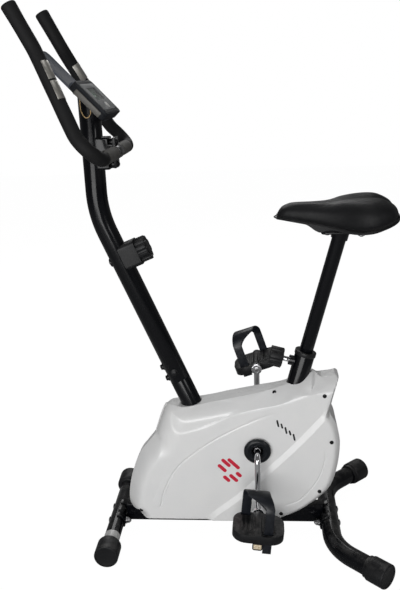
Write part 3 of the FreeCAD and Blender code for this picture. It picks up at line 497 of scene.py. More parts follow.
# --- materials ----------------------------------------------------------------------------------------------
def gloss_paint(name, color, rough, coat):
    """Stove enamel: slight orange peel, smudges, dust above and hairline scratches."""
    finish = Finish(name)
    smudge = finish.use("smudges", Scale=18.0).outputs["Mask"]
    dust = finish.use("settled_dust", Amount=0.16).outputs["Mask"]
    scratch = finish.use("hairlines", Amount=0.5).outputs["Mask"]
    lighter = tuple(min(1.0, c * 2.2 + 0.012) for c in color[:3]) + (1.0,)
    base = finish.blend(scratch, color, lighter)
    base = finish.blend(dust, base, (0.30, 0.29, 0.28, 1))
    peel = finish.noise(finish.place(), 240.0, 2.0)
    finish.set(Base_Color=base, Coat_Weight=coat, Coat_Roughness=0.05, Specular_IOR_Level=0.22)
    level = finish.math("ADD", finish.remap(smudge, 0.0, 1.0, rough * 0.8, rough * 1.35),
                        finish.math("MULTIPLY", dust, 0.4))
    finish.set(Roughness=level, Normal=finish.bump(peel, 0.0002, 0.35))


def white_shell():
    """Satin white moulding with a pearly lacquer."""
    finish = Finish("white_shell")
    grain = finish.use("moulded_grain", Scale=1300.0)
    smudge = finish.use("smudges", Scale=7.0).outputs["Mask"]
    # Painted shade with dust: this mask greys the upward faces in patches, standing in for the dimmer light from
    # above as well as for dust.
    dust = finish.use("settled_dust", Amount=0.22).outputs["Mask"]
    scratch = finish.use("hairlines", Amount=0.35).outputs["Mask"]
    base = finish.blend(smudge, (0.735, 0.738, 0.738, 1), (0.775, 0.772, 0.765, 1))
    # Painted top shade colour: a cool grey laid on the upward faces.
    base = finish.blend(dust, base, (0.60, 0.60, 0.62, 1))
    base = finish.blend(scratch, base, (0.62, 0.62, 0.62, 1))
    finish.set(Base_Color=base, Roughness=finish.remap(smudge, 0.0, 1.0, 0.30, 0.42))
    finish.set(Coat_Weight=0.35, Coat_Roughness=0.22)
    finish.shader.inputs["Subsurface Weight"].default_value = 0.04
    finish.shader.inputs["Subsurface Radius"].default_value = (0.004, 0.004, 0.004)
    finish.set(Normal=finish.bump(grain.outputs["Height"], 0.00005, 0.5))


def moulded_plastic(name, color, rough=0.5, scale=900.0, depth=0.0002, dust_amount=0.25, shine=0.3):
    """Moulded plastic: fine grain, slow colour variation and a little dust."""
    finish = Finish(name)
    grain = finish.use("moulded_grain", Scale=scale)
    dust = finish.use("settled_dust", Amount=dust_amount).outputs["Mask"]
    darker = tuple(c * 0.72 for c in color[:3]) + (1.0,)
    base = finish.blend(grain.outputs["Variation"], darker, color)
    base = finish.blend(dust, base, (0.32, 0.31, 0.30, 1))
    level = finish.remap(grain.outputs["Variation"], 0.0, 1.0, rough * 0.88, rough * 1.12)
    finish.set(Base_Color=base, Roughness=level, Specular_IOR_Level=shine)
    finish.set(Normal=finish.bump(grain.outputs["Height"], depth, 0.3))


def strap_rubber():
    """Soft black rubber with a bloom where it flexes."""
    finish = Finish("strap_rubber")
    grain = finish.use("moulded_grain", Scale=1500.0)
    bloom = finish.use("smudges", Scale=60.0).outputs["Mask"]
    base = finish.blend(bloom, (0.0045, 0.0055, 0.008, 1), (0.011, 0.013, 0.018, 1))
    finish.set(Base_Color=base, Roughness=finish.remap(bloom, 0.0, 1.0, 0.30, 0.50), Specular_IOR_Level=0.35)
    finish.set(Normal=finish.bump(grain.outputs["Height"], 0.0001, 0.5))


def foam(name, color, pore_shade_color):
    """Foam sleeve skin with pores, paler where hands rub."""
    finish = Finish(name)
    pores = finish.use("foam_pores", Scale=820.0)
    worn = finish.use("smudges", Scale=16.0).outputs["Mask"]
    lighter = tuple(c * 1.5 for c in color[:3]) + (1.0,)
    base = finish.blend(worn, color, lighter)
    # Painted shade: the pores are darkened towards the pore shade colour.
    base = finish.blend(pores.outputs["Pore"], base, pore_shade_color)
    finish.set(Base_Color=base, Roughness=finish.remap(worn, 0.0, 1.0, 0.62, 0.78), Specular_IOR_Level=0.2)
    finish.set(Normal=finish.bump(pores.outputs["Height"], 0.0002, 0.5))


def chrome():
    """Bright plate with smears, hairlines and a slight ripple."""
    finish = Finish("chrome")
    smudge = finish.use("smudges", Scale=30.0).outputs["Mask"]
    scratch = finish.use("hairlines", Amount=0.8).outputs["Mask"]
    base = finish.blend(smudge, (0.62, 0.62, 0.64, 1), (0.70, 0.70, 0.71, 1))
    level = finish.math("ADD", finish.remap(smudge, 0.0, 1.0, 0.05, 0.13),
                        finish.math("MULTIPLY", scratch, 0.25))
    ripple = finish.noise(finish.place(), 60.0, 1.0)
    finish.set(Base_Color=base, Metallic=1.0, Roughness=level, Normal=finish.bump(ripple, 0.0002, 0.3))


def bright_steel(name, color, rough, lay=(40.0, 900.0, 900.0)):
    """Zinc plate or stainless sheet with a fine brushed lay."""
    finish = Finish(name)
    mapping = finish.node("ShaderNodeMapping", {"Vector": finish.place(), "Scale": lay})
    brushed = finish.node("ShaderNodeTexNoise", {"Vector": mapping.outputs[0], "Scale": 1.0, "Detail": 2.0})
    smudge = finish.use("smudges", Scale=40.0).outputs["Mask"]
    darker = tuple(c * 0.8 for c in color[:3]) + (1.0,)
    base = finish.blend(smudge, darker, color)
    level = finish.remap(brushed.outputs[0], 0.3, 0.7, rough * 0.75, rough * 1.25)
    finish.set(Base_Color=base, Metallic=1.0, Roughness=level)
    finish.set(Normal=finish.bump(brushed.outputs[0], 0.00001, 0.3))


def cast_iron():
    """Rough casting with patchy colour."""
    finish = Finish("cast_iron")
    grain = finish.use("moulded_grain", Scale=500.0)
    base = finish.blend(grain.outputs["Variation"], (0.10, 0.10, 0.105, 1), (0.20, 0.19, 0.19, 1))
    level = finish.remap(grain.outputs["Variation"], 0, 1, 0.4, 0.6)
    finish.set(Base_Color=base, Metallic=0.9, Roughness=level)
    finish.set(Normal=finish.bump(grain.outputs["Height"], 0.0003, 0.6))


def saddle_vinyl():
    """Soft grained upholstery vinyl, a little shinier where it is sat on."""
    finish = Finish("saddle_vinyl")
    grain = finish.use("leather_grain", Scale=640.0)
    worn = finish.use("smudges", Scale=11.0).outputs["Mask"]
    base = finish.blend(worn, (0.0065, 0.0068, 0.0078, 1), (0.0105, 0.0108, 0.012, 1))
    # Painted shade: the grain's creases are darkened towards near black.
    base = finish.blend(finish.math("MULTIPLY", grain.outputs["Crease"], 0.6), base, (0.004, 0.004, 0.004, 1))
    finish.set(Base_Color=base, Roughness=finish.remap(worn, 0.0, 1.0, 0.54, 0.44), Specular_IOR_Level=0.22)
    swell = finish.noise(finish.place(), 34.0, 3.0)
    soft = finish.bump(swell, 0.0012, 0.25)
    finish.set(Normal=finish.bump(grain.outputs["Height"], 0.00016, 0.55, soft))


def metallic_plastic(name, color, rough):
    """Silver-painted moulding: fine flakes under a thin clear coat."""
    finish = Finish(name)
    where = finish.place()
    flakes = finish.node("ShaderNodeTexVoronoi", {"Vector": where, "Scale": 900.0}, feature="F1")
    glint = finish.remap(flakes.outputs["Distance"], 0.0, 0.5)
    smudge = finish.use("smudges", Scale=26.0).outputs["Mask"]
    darker = tuple(c * 0.84 for c in color[:3]) + (1.0,)
    base = finish.blend(glint, color, darker)
    finish.set(Base_Color=base, Specular_IOR_Level=0.08)
    finish.set(Roughness=finish.remap(smudge, 0.0, 1.0, rough * 0.85, rough * 1.2))
    finish.set(Normal=finish.bump(finish.noise(where, 120.0, 2.0), 0.00004, 0.15))


def lcd_glass():
    """Clear window, faintly smeared."""
    finish = Finish("lcd_glass")
    smudge = finish.use("smudges", Scale=50.0).outputs["Mask"]
    finish.set(Base_Color=(0.86, 0.90, 0.87, 1), Roughness=finish.remap(smudge, 0, 1, 0.02, 0.09))
    finish.shader.inputs["Transmission Weight"].default_value = 0.9
    finish.shader.inputs["IOR"].default_value = 1.12


def reflector():
    """Pale amber prism moulding seen through its smooth outer face; the light and dark of its facets is painted."""
    finish = Finish("reflector")
    where = finish.place()
    prism = finish.node("ShaderNodeTexVoronoi", {"Vector": where, "Scale": 330.0}, feature="F1",
                        distance="CHEBYCHEV")
    facet = finish.remap(prism.outputs["Distance"], 0.1, 0.6)
    # Painted light and shade: each prism facet is pale at its middle and dark amber towards its edges, standing in
    # for its reflections.
    base = finish.blend(facet, (0.86, 0.76, 0.60, 1), (0.55, 0.44, 0.28, 1))
    finish.set(Base_Color=base, Roughness=finish.remap(facet, 0, 1, 0.08, 0.22))
    finish.set(Coat_Weight=1.0, Coat_Roughness=0.03)
    finish.set(Normal=finish.bump(facet, 0.0006, 0.8))


def wire_tan():
    """Tan wire covering, streaked along its length."""
    finish = Finish("wire_tan")
    streak = finish.noise(finish.place(), 380.0, 2.0)
    base = finish.blend(streak, (0.46, 0.30, 0.13, 1), (0.62, 0.43, 0.20, 1))
    finish.set(Base_Color=base, Roughness=finish.remap(streak, 0.3, 0.7, 0.35, 0.5))
    finish.set(Normal=finish.bump(streak, 0.0001, 0.4))


def all_materials():
    gloss_paint("black_paint", (0.0022, 0.0025, 0.0036, 1), 0.20, 0.16)
    gloss_paint("bracket_steel", (0.008, 0.008, 0.009, 1), 0.38, 0.1)
    gloss_paint("black_fastener", (0.006, 0.006, 0.007, 1), 0.32, 0.15)
    white_shell()
    moulded_plastic("black_plastic", (0.0075, 0.0078, 0.009, 1), 0.46)
    moulded_plastic("cover_plastic", (0.007, 0.009, 0.0115, 1), 0.32, 1400.0, 0.00008)
    moulded_plastic("pulley_plastic", (0.03, 0.03, 0.03, 1), 0.5)
    moulded_plastic("bush_plastic", (0.012, 0.012, 0.013, 1), 0.42)
    moulded_plastic("belt_rubber", (0.012, 0.012, 0.012, 1), 0.7)
    moulded_plastic("grey_plastic", (0.125, 0.137, 0.165, 1), 0.6, 300.0, 0.00002, 0.1, 0.05)
    moulded_plastic("dark_plastic", (0.026, 0.028, 0.032, 1), 0.6, 300.0, 0.00002, 0.1, 0.06)
    moulded_plastic("button_white", (0.78, 0.78, 0.76, 1), 0.30, 1600.0, 0.00004, 0.1)
    moulded_plastic("board_green", (0.02, 0.15, 0.06, 1), 0.35, 600.0, 0.0001)
    moulded_plastic("magnet_black", (0.03, 0.03, 0.032, 1), 0.4)
    strap_rubber()
    foam("black_foam", (0.0075, 0.0075, 0.008, 1), (0.003, 0.003, 0.003, 1))
    foam("grey_foam", (0.088, 0.086, 0.080, 1), (0.030, 0.030, 0.030, 1))
    chrome()
    bright_steel("zinc_steel", (0.52, 0.52, 0.53, 1), 0.30)
    bright_steel("plate_steel", (0.56, 0.54, 0.50, 1), 0.42, (40.0, 300.0, 300.0))
    cast_iron()
    saddle_vinyl()
    metallic_plastic("silver_plastic", (0.27, 0.275, 0.28, 1), 0.52)
    lcd_glass()
    reflector()
    wire_tan()


all_materials()


# --- sensor wire --------------------------------------------------------------------------------------------
def sensor_wire():
    """The pulse sensors' lead: a loop that leaves the console's back and goes in again beside the post."""
    route = [(363, 29, 1073), (364, 31, 1053), (361, 33, 1037), (352, 34, 1026), (343, 33, 1032),
             (341, 31, 1043), (345.5, 29, 1054)]
    curve = bpy.data.curves.new("sensor_wire_loop", "CURVE")
    curve.dimensions = "3D"
    line = curve.splines.new("NURBS")
    line.points.add(len(route) - 1)
    for point, place in zip(line.points, route):
        point.co = (*at(*place), 1.0)
    line.order_u = 3
    line.use_endpoint_u = True
    line.resolution_u = 12
    curve.bevel_depth = 1.0 * MM
    curve.bevel_resolution = 6
    curve.use_fill_caps = True
    wire = bpy.data.objects.new("sensor_wire_loop", curve)
    bpy.context.collection.objects.link(wire)
    wire.data.materials.append(materials["wire_tan"])
    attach(wire, "frame")
    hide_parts("sensor_wire")


sensor_wire()


# --- carried-over CAD nodes ---------------------------------------------------------------------------------
slot_of_node = {part["node"]: part["material_slot"] for part in frame["record"]["subparts"]}
bodies = frame["record"]["behaviour"]["bodies"]
body_of_node = {node: body for body, nodes in bodies.items() for node in nodes}
for node, part in frame["nodes"].items():
    if part.data.materials:
        for place in part.material_slots:
            place.material = materials[slot_of_node[node]]
    else:
        part.data.materials.append(materials[slot_of_node[node]])


# --- shroud -------------------------------------------------------------------------------------------------
# Each stretch of the side view: its corners, the half width at its edge and how far in the edge rounds over.
SHELL_SIDE = 64.0
SHELL_WALL = 2.6
SEAM_GAP = 0.35
EDGE_STRETCHES = (
    (((306, 50), (320, 58), (327, 80), (324, 117), (313, 162), (291, 214), (271, 241), (252, 265),
      (248.5, 270)), 17, 43),
    (((248.5, 270), (236, 306), (226, 331), (218, 344)), 2, 60),
    (((218, 344), (206, 347), (190, 346), (158, 347), (60, 367), (-40, 389), (-95, 408), (-126, 426),
      (-137, 427), (-149, 419), (-168, 420.5), (-184, 424)), 29, 30),
    (((-184, 424), (-190, 421.5), (-192, 415), (-181, 370), (-171, 336)), 25, 13),
    (((-171, 336), (-182, 319), (-190, 296), (-195, 257), (-189, 197), (-173, 145), (-145, 112), (-101, 77),
      (-45, 50)), 48, 17),
    (((-45, 50), (306, 50)), 57, 5),
)
COLLAR_STRETCH = 1
TOP_STRETCH = 2
SHOULDER_LINE = ((260, 262), (225, 277), (135, 301), (39, 343), (-54, 365), (-100, 384), (-151, 395),
                 (-190, 406))
STEP_LINE = ((112, 48), (107, 62), (44, 114), (-10, 167), (-100, 259), (-169, 340), (-180, 352))
STEP_BEVEL = 13.0
STEP_DEPTH = 6.0
FRONT_ARC = ((242, 89), (227, 140), (200, 190), (162, 229), (88, 282), (-7, 330), (-77, 353))
REAR_ARC = ((-47, 93), (-101, 116), (-143, 171), (-159, 225), (-159, 259))
FRONT_PANEL = ((267, 84), (243, 86), (208, 174), (230, 172))
SCREW_PLACES = ((291, 76), (-42, 383), (-157, 387), (-174, 271), (-147, 139), (-55, 76))
GROOVE_DEPTH = 1.3
PANEL_RISE = 0.9
GRID_STEP = 4.0
POST_TOP = (351, 816)
POST_LEAN = math.radians(22.3)
SEAT_TUBE_FOOT = (-115, 468)
SEAT_TUBE_RUN = (-0.2588, 0.9659)
POST_OPENING = 24.8
SEAT_OPENING = 24.3
RAIL_LOW = (-262.3, -16.3, -11.7)
RAIL_HIGH = (421.9, 16.3, 69.2)
CRANK_HEIGHT = 248.0
CRANK_HOLE = 26.0


def smooth_chain(corners, step):
    """Points at even steps on a curve through the corners, in the side plane."""
    given = np.array(corners, dtype=float)
    if len(given) > 2:
        padded = np.vstack([2 * given[0] - given[1], given, 2 * given[-1] - given[-2]])
        rows = []
        for a, b, c, d in zip(padded[:-3], padded[1:-2], padded[2:-1], padded[3:]):
            for t in np.linspace(0, 1, 12, endpoint=False):
                rows.append(0.5 * (2 * b + (c - a) * t + (2 * a - 5 * b + 4 * c - d) * t ** 2
                                   + (3 * b - a - 3 * c + d) * t ** 3))
        given = np.vstack(rows + [given[-1]])
    flat = np.column_stack([given[:, 0], given[:, 1], np.zeros(len(given))])
    return spaced(flat, step)[:, :2]


def to_chain(points, chain):
    """Distance of each point to a chain, signed plus to its right, and how far along the chain it is."""
    start, run = chain[:-1], np.diff(chain, axis=0)
    length = np.linalg.norm(run, axis=1)
    offset = points[:, None, :] - start[None]
    share = np.clip((offset * run).sum(2) / length ** 2, 0, 1)
    away = offset - share[..., None] * run
    gap = np.linalg.norm(away, axis=2)
    nearest = gap.argmin(axis=1)
    rows = np.arange(len(points))
    turn = run[nearest, 0] * offset[rows, nearest, 1] - run[nearest, 1] * offset[rows, nearest, 0]
    before = np.concatenate([[0], np.cumsum(length)])
    along = (before[nearest] + share[rows, nearest] * length[nearest]) / before[-1]
    return gap[rows, nearest], np.where(turn < 0, 1.0, -1.0), along


def within(points, loop):
    inside = np.zeros(len(points), dtype=bool)
    for (ax, az), (bx, bz) in zip(loop, np.roll(loop, -1, axis=0)):
        if az != bz:
            crosses = (az > points[:, 1]) != (bz > points[:, 1])
            inside ^= crosses & (points[:, 0] < ax + (points[:, 1] - az) * (bx - ax) / (bz - az))
    return inside


def ease(value):
    value = np.clip(value, 0, 1)
    return value * value * (3 - 2 * value)


edge_chains = [smooth_chain(corners, 3.2) for corners, _, _ in EDGE_STRETCHES]
shoulder = smooth_chain(SHOULDER_LINE, 4.0)
step_line = smooth_chain(STEP_LINE, 4.0)
front_arc = smooth_chain(FRONT_ARC, 4.0)
rear_arc = smooth_chain(REAR_ARC, 4.0)
front_panel = np.array(FRONT_PANEL, dtype=float)


def strip_half_width(x):
    """The flat along the top: widest behind the collar, rounded off in plan at its front end."""
    nose = np.sqrt(np.clip(1 - (np.clip(x - 168, 0, 50) / 50.5) ** 2, 0, 1))
    return np.interp(x, (-184, 216), (24, 35)) * nose


def shell_y(points):
    """Half width of the shroud at points of its side view."""
    points = np.asarray(points, dtype=float)
    x, z = points[:, 0], points[:, 1]
    y = np.full(len(points), SHELL_SIDE)
    for index, (chain, (_, edge_width, rounding)) in enumerate(zip(edge_chains, EDGE_STRETCHES)):
        width = strip_half_width(x) if index == TOP_STRETCH else edge_width
        share = np.clip(to_chain(points, chain)[0] / rounding, 0, 1)
        rounded = np.sqrt(1 - (1 - share) ** 2) if index == COLLAR_STRETCH else np.sin(math.pi / 2 * share)
        y = np.minimum(y, width + (SHELL_SIDE - width) * rounded)
    order = np.argsort(shoulder[:, 0])
    rise = z - np.interp(x, shoulder[order, 0], shoulder[order, 1])
    slope = np.interp(x, (-100, 216), (1.7, 0.3))
    facet = SHELL_SIDE - slope * np.maximum(rise, 0)
    drop = np.interp(x, (-100, 150), (8.0, 1.6)) * ease((238 - x) / 24)
    round_over = (y - drop) * np.clip((x + 152) / 24, 0, 1)
    y = np.where((rise > 0) & (x < 238), np.minimum(y, np.maximum(facet, round_over)), y)
    gap, side, _ = to_chain(points, step_line)
    behind = np.where(side > 0, gap, 0)
    y = y - STEP_DEPTH * np.clip(behind / STEP_BEVEL, 0, 1)
    gap, _, along = to_chain(points, front_arc)
    y = y - GROOVE_DEPTH * (1 - ease((gap - 0.8) / 2.4)) * ease((0.98 - along) / 0.3)
    gap, side, along = to_chain(points, rear_arc)
    fade = ease(along / 0.25) * ease((1 - along) / 0.2)
    y = y - GROOVE_DEPTH * (1 - ease((gap - 0.6) / 2.2)) * fade
    gap, _, _ = to_chain(points, np.vstack([front_panel, front_panel[:1]]))
    return y + PANEL_RISE * np.where(within(points, front_panel), ease(gap / 2.0), 0)


def offset_rows(chain, offsets):
    tangent = np.gradient(chain, axis=0)
    tangent /= np.linalg.norm(tangent, axis=1)[:, None]
    normal = np.column_stack([tangent[:, 1], -tangent[:, 0]])
    return np.vstack([chain + normal * offset for offset in offsets])


def shell_points():
    """Outline, rows of points along each edge and crease, and an even grid in between."""
    outline = np.vstack([chain[:-1] for chain in edge_chains])
    closed = np.vstack([outline, outline[:1]])
    tangent = np.roll(outline, -1, axis=0) - np.roll(outline, 1, axis=0)
    tangent /= np.linalg.norm(tangent, axis=1)[:, None]
    inward = np.column_stack([-tangent[:, 1], tangent[:, 0]])
    if not within(outline[40:41] + inward[40:41] * 2, outline)[0]:
        inward = -inward
    rings = []
    for inset in (0.7, 2.2, 4.6, 7.6, 11.0):
        row = outline + inward * inset
        row = row[within(row, outline)]
        rings.append(row[to_chain(row, closed)[0] > inset * 0.92])
    rows = [offset_rows(shoulder, (-0.5, 0.5)), offset_rows(step_line, (0.0, STEP_BEVEL)),
            offset_rows(front_arc, (-3.2, -2.0, -0.8, 0.8, 2.0, 3.2)),
            offset_rows(rear_arc, (-2.8, -1.7, -0.6, 0.6, 1.7, 2.8))]
    rows += [smooth_chain(side, 3.0) for side in zip(FRONT_PANEL, FRONT_PANEL[1:] + FRONT_PANEL[:1])]
    angles = np.radians(np.arange(0, 360, 6))
    hole = np.column_stack([CRANK_HOLE * np.cos(angles), CRANK_HEIGHT + CRANK_HOLE * np.sin(angles)])
    creases = np.vstack(rows)
    creases = creases[within(creases, outline)]
    creases = creases[to_chain(creases, closed)[0] > 3.0]
    fixed = np.vstack([*rings, creases])
    columns = np.arange(-200, 332, GRID_STEP)
    grid = []
    for number, height in enumerate(np.arange(48, 432, GRID_STEP * 0.866)):
        shift = GRID_STEP / 2 if number % 2 else 0
        grid.append(np.column_stack([columns + shift, np.full(len(columns), height)]))
    grid = np.vstack(grid)
    grid = grid[within(grid, outline)]
    grid = grid[to_chain(grid, closed)[0] > 12.5]
    near = KDTree(len(creases))
    for index, place in enumerate(creases):
        near.insert((place[0], place[1], 0), index)
    near.balance()
    grid = np.array([place for place in grid if near.find((place[0], place[1], 0))[2] > 2.4])
    loose = np.vstack([fixed, grid])
    loose = loose[np.hypot(loose[:, 0], loose[:, 1] - CRANK_HEIGHT) > CRANK_HOLE + 1.5]
    return outline, hole, loose


def shroud_cutters():
    """The post, the seat tube and the rail, a little oversize, as three cutting shapes."""
    shapes = []
    for name, low, high, radius in (("post", post_point(200), post_point(440), POST_OPENING),
                                    ("seat", seat_point(-200), seat_point(30), SEAT_OPENING)):
        start, end = at(*low), at(*high)
        turn = (end - start).to_track_quat("Z", "Y").to_matrix().to_4x4()
        turn.translation = (start + end) / 2
        work = bmesh.new()
        bmesh.ops.create_cone(work, cap_ends=True, segments=72, radius1=radius * MM, radius2=radius * MM,
                              depth=(end - start).length, matrix=turn)
        shapes.append((name, work))
    low, high = at(*RAIL_LOW), at(*RAIL_HIGH)
    middle = Matrix.Translation((low + high) / 2) @ Matrix.Diagonal((*(high - low), 1))
    work = bmesh.new()
    bmesh.ops.create_cube(work, size=1.0, matrix=middle)
    shapes.append(("rail", work))
    cutters = []
    for name, work in shapes:
        bmesh.ops.recalc_face_normals(work, faces=work.faces)
        mesh = bpy.data.meshes.new("%s_cutter" % name)
        work.to_mesh(mesh)
        work.free()
        cutter = bpy.data.objects.new("%s_cutter" % name, mesh)
        bpy.context.collection.objects.link(cutter)
        cutters.append(cutter)
    return cutters


def post_point(height):
    return (POST_TOP[0] - (POST_TOP[1] - height) * math.tan(POST_LEAN), 0, height)


def seat_point(run):
    return (SEAT_TUBE_FOOT[0] + SEAT_TUBE_RUN[0] * run, 0, SEAT_TUBE_FOOT[1] + SEAT_TUBE_RUN[1] * run)


def shroud_halves():
    """Two mouldings meeting on the middle plane, each a skin with its wall turned inwards."""
    outline, hole, loose = shell_points()
    points = np.vstack([outline, hole, loose])
    count, ring = len(outline), len(hole)
    edges = [(i, (i + 1) % count) for i in range(count)]
    edges += [(count + i, count + (i + 1) % ring) for i in range(ring)]
    flat, _, triangles, _, _, _ = delaunay_2d_cdt([Vector(p) for p in points], edges, [], 0, 1e-4)
    flat = np.array([tuple(p) for p in flat])
    triangles = np.array(triangles)
    middles = flat[triangles].mean(axis=1)
    past_hole = np.hypot(middles[:, 0], middles[:, 1] - CRANK_HEIGHT) > CRANK_HOLE - 0.1
    keep = within(middles, outline) & past_hole
    y = shell_y(flat)
    work = bmesh.new()
    corners = [work.verts.new(at(px, py, pz)) for (px, pz), py in zip(flat, y)]
    for a, b, c in triangles[keep]:
        work.faces.new((corners[a], corners[b], corners[c]))
    loose_ends = [corner for corner in work.verts if not corner.link_faces]
    bmesh.ops.delete(work, geom=loose_ends, context="VERTS")
    bmesh.ops.recalc_face_normals(work, faces=work.faces)
    if sum(face.normal.y * face.calc_area() for face in work.faces) < 0:
        bmesh.ops.reverse_faces(work, faces=work.faces)
    center = at(0, SHELL_SIDE, CRANK_HEIGHT)
    rim = [edge for edge in work.edges if edge.is_boundary
           and (edge.verts[0].co - center).length > (CRANK_HOLE + 12) * MM]
    full = {}
    for share in (0.93, 0.8, 0.4, 0.0):
        grown = bmesh.ops.extrude_edge_only(work, edges=rim)["geom"]
        rim = [item for item in grown if isinstance(item, bmesh.types.BMEdge)
               and all(corner.is_boundary for corner in item.verts)
               and all(corner in grown for corner in item.verts)]
        fresh = {corner for item in rim for corner in item.verts}
        for corner in fresh:
            key = (round(corner.co.x, 6), round(corner.co.z, 6))
            widest = full.setdefault(key, corner.co.y)
            corner.co.y = SEAM_GAP * MM + (widest - SEAM_GAP * MM) * share
    mesh = bpy.data.meshes.new("left_shroud")
    bmesh.ops.recalc_face_normals(work, faces=work.faces)
    if sum(face.normal.y * face.calc_area() for face in work.faces) < 0:
        bmesh.ops.reverse_faces(work, faces=work.faces)
    work.to_mesh(mesh)
    work.free()
    left = bpy.data.objects.new("left_shroud", mesh)
    bpy.context.collection.objects.link(left)
    wall = left.modifiers.new("wall", "SOLIDIFY")
    wall.thickness = SHELL_WALL * MM
    wall.offset = -1.0
    wall.use_even_offset = False
    settle(left)
    for cutter in shroud_cutters():
        opening = left.modifiers.new("opening", "BOOLEAN")
        opening.object = cutter
        opening.solver = "FAST" if cutter.name.startswith("rail") else "EXACT"
        settle(left)
        bpy.data.objects.remove(cutter, do_unlink=True)
    close_up(left, 1e-6)
    shade(left, 24.0)
    right_mesh = left.data.copy()
    right_mesh.name = "right_shroud"
    right_mesh.transform(Matrix.Diagonal((1, -1, 1, 1)))
    right_mesh.flip_normals()
    right = bpy.data.objects.new("right_shroud", right_mesh)
    bpy.context.collection.objects.link(right)
    install(left, "frame", "white_shell", "left_housing")
    install(right, "frame", "white_shell", "right_housing")


def plaque(name, spots, lift, material):
    """A thin closed film lying on the shroud's left side; spots are rows of points across it."""
    rows, columns = len(spots), len(spots[0])
    flat = np.array([p for row in spots for p in row])
    y = shell_y(flat)
    top = [at(px, py + lift, pz) for (px, pz), py in zip(flat, y)]
    low = [at(px, py - 0.4, pz) for (px, pz), py in zip(flat, y)]
    total = len(top)
    faces = []
    for r in range(rows - 1):
        for c in range(columns - 1):
            a, e = r * columns + c, (r + 1) * columns + c
            b, d = a + 1, e + 1
            faces.append((a, b, d, e))
            faces.append((total + e, total + d, total + b, total + a))
    loop = [c for c in range(columns)] + [r * columns + columns - 1 for r in range(1, rows)]
    loop += [(rows - 1) * columns + c for c in range(columns - 2, -1, -1)]
    loop += [r * columns for r in range(rows - 2, 0, -1)]
    for a, b in zip(loop, loop[1:] + loop[:1]):
        faces.append((a, b, total + b, total + a))
    piece = new_piece(name, top + low, faces, 40.0)
    close_up(piece, 1e-7)
    piece.data.materials.append(material)
    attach(piece, "frame")
    return piece


def stroke(start, end, width, bow=0.0):
    """Rows of points filling a bar with round ends between two places."""
    start, end = np.array(start, dtype=float), np.array(end, dtype=float)
    run = end - start
    length = np.linalg.norm(run)
    ahead = run / length
    across = np.array((-ahead[1], ahead[0]))
    rows = []
    for share in np.concatenate([[0, 0.01, 0.03, 0.06], np.linspace(0.1, 0.9, 12), [0.94, 0.97, 0.99, 1.0]]):
        near = min(share, 1 - share) * length
        round_end = min(near, width / 2)
        half = max(0.15, math.sqrt(max((width / 2) ** 2 - (width / 2 - round_end) ** 2, 0)))
        middle = start + run * share + across * bow * math.sin(math.pi * share)
        rows.append([tuple(middle + across * half * side) for side in (-1, -0.5, 0, 0.5, 1)])
    return rows


def shroud_graphics():
    """Plain slanted bars: a red group towards the nose and a small dark group above the crank."""
    red = ((86, 222, 66, 202, 9.0), (71, 223, 44, 196, 9.0), (95, 207, 76, 188, 9.0), (68, 180, 49, 161, 9.0),
           (83, 176, 68, 161, 9.0), (52, 186, 40, 174, 9.0))
    for number, (ax, az, bx, bz, width) in enumerate(red):
        plaque("red_bar_%d" % number, stroke((ax, az), (bx, bz), width), 0.25, films["red_film"])
    for number in range(5):
        x, z = -47 - 9.5 * number, 326 - 9.0 * number
        tall = 13.0 if number % 2 else 18.0
        plaque("dark_bar_%d" % number, stroke((x, z), (x - 3.5, z - tall), 4.2), 0.25, films["dark_film"])


def film(name, color, rough):
    """Screen-printed ink: fine mottling and a slight sheen."""
    finish = Finish(name)
    mottle = finish.noise(finish.place(), 500.0, 3.0)
    darker = tuple(c * 0.82 for c in color[:3]) + (1.0,)
    finish.set(Base_Color=finish.blend(mottle, darker, color))
    finish.set(Roughness=finish.remap(mottle, 0.3, 0.7, rough * 0.8, rough * 1.2))
    return finish.material


films = {"red_film": film("red_film", (0.62, 0.012, 0.045, 1), 0.35),
         "dark_film": film("dark_film", (0.012, 0.012, 0.014, 1), 0.4),
         "label_film": film("label_film", (0.62, 0.62, 0.61, 1), 0.3),
         "trim_film": film("trim_film", (0.115, 0.108, 0.094, 1), 0.45)}


# --- screws -------------------------------------------------------------------------------------------------
def pan_head(radius, height):
    """A pan-head screw with a cross recess, standing on the floor plane at the origin."""
    profile = ((0.42, 0.42), (0.55, 0.86), (0.80, 0.96), (0.93, 0.74), (1.0, 0.35), (1.0, -0.4))
    sides = 32
    vertices = [(0, 0, height * 0.42)]
    faces = []
    for ring_number, (out, up) in enumerate(profile):
        for k in range(sides):
            angle = 2 * math.pi * k / sides
            reach = out * radius
            if ring_number < 2:
                arm = abs(math.cos(2 * angle)) ** 6
                reach = radius * (0.16 + (out - 0.16 + 0.06) * arm)
            vertices.append((reach * math.cos(angle), reach * math.sin(angle), height * up))
    for k in range(sides):
        faces.append((0, 1 + k, 1 + (k + 1) % sides))
    for ring_number in range(len(profile) - 1):
        first = 1 + ring_number * sides
        for k in range(sides):
            n = (k + 1) % sides
            faces.append((first + k, first + sides + k, first + sides + n, first + n))
    faces.append(tuple(1 + (len(profile) - 1) * sides + k for k in range(sides))[::-1])
    mesh = bpy.data.meshes.new("pan_head")
    mesh.from_pydata([tuple(c * MM for c in v) for v in vertices], [], faces)
    return mesh


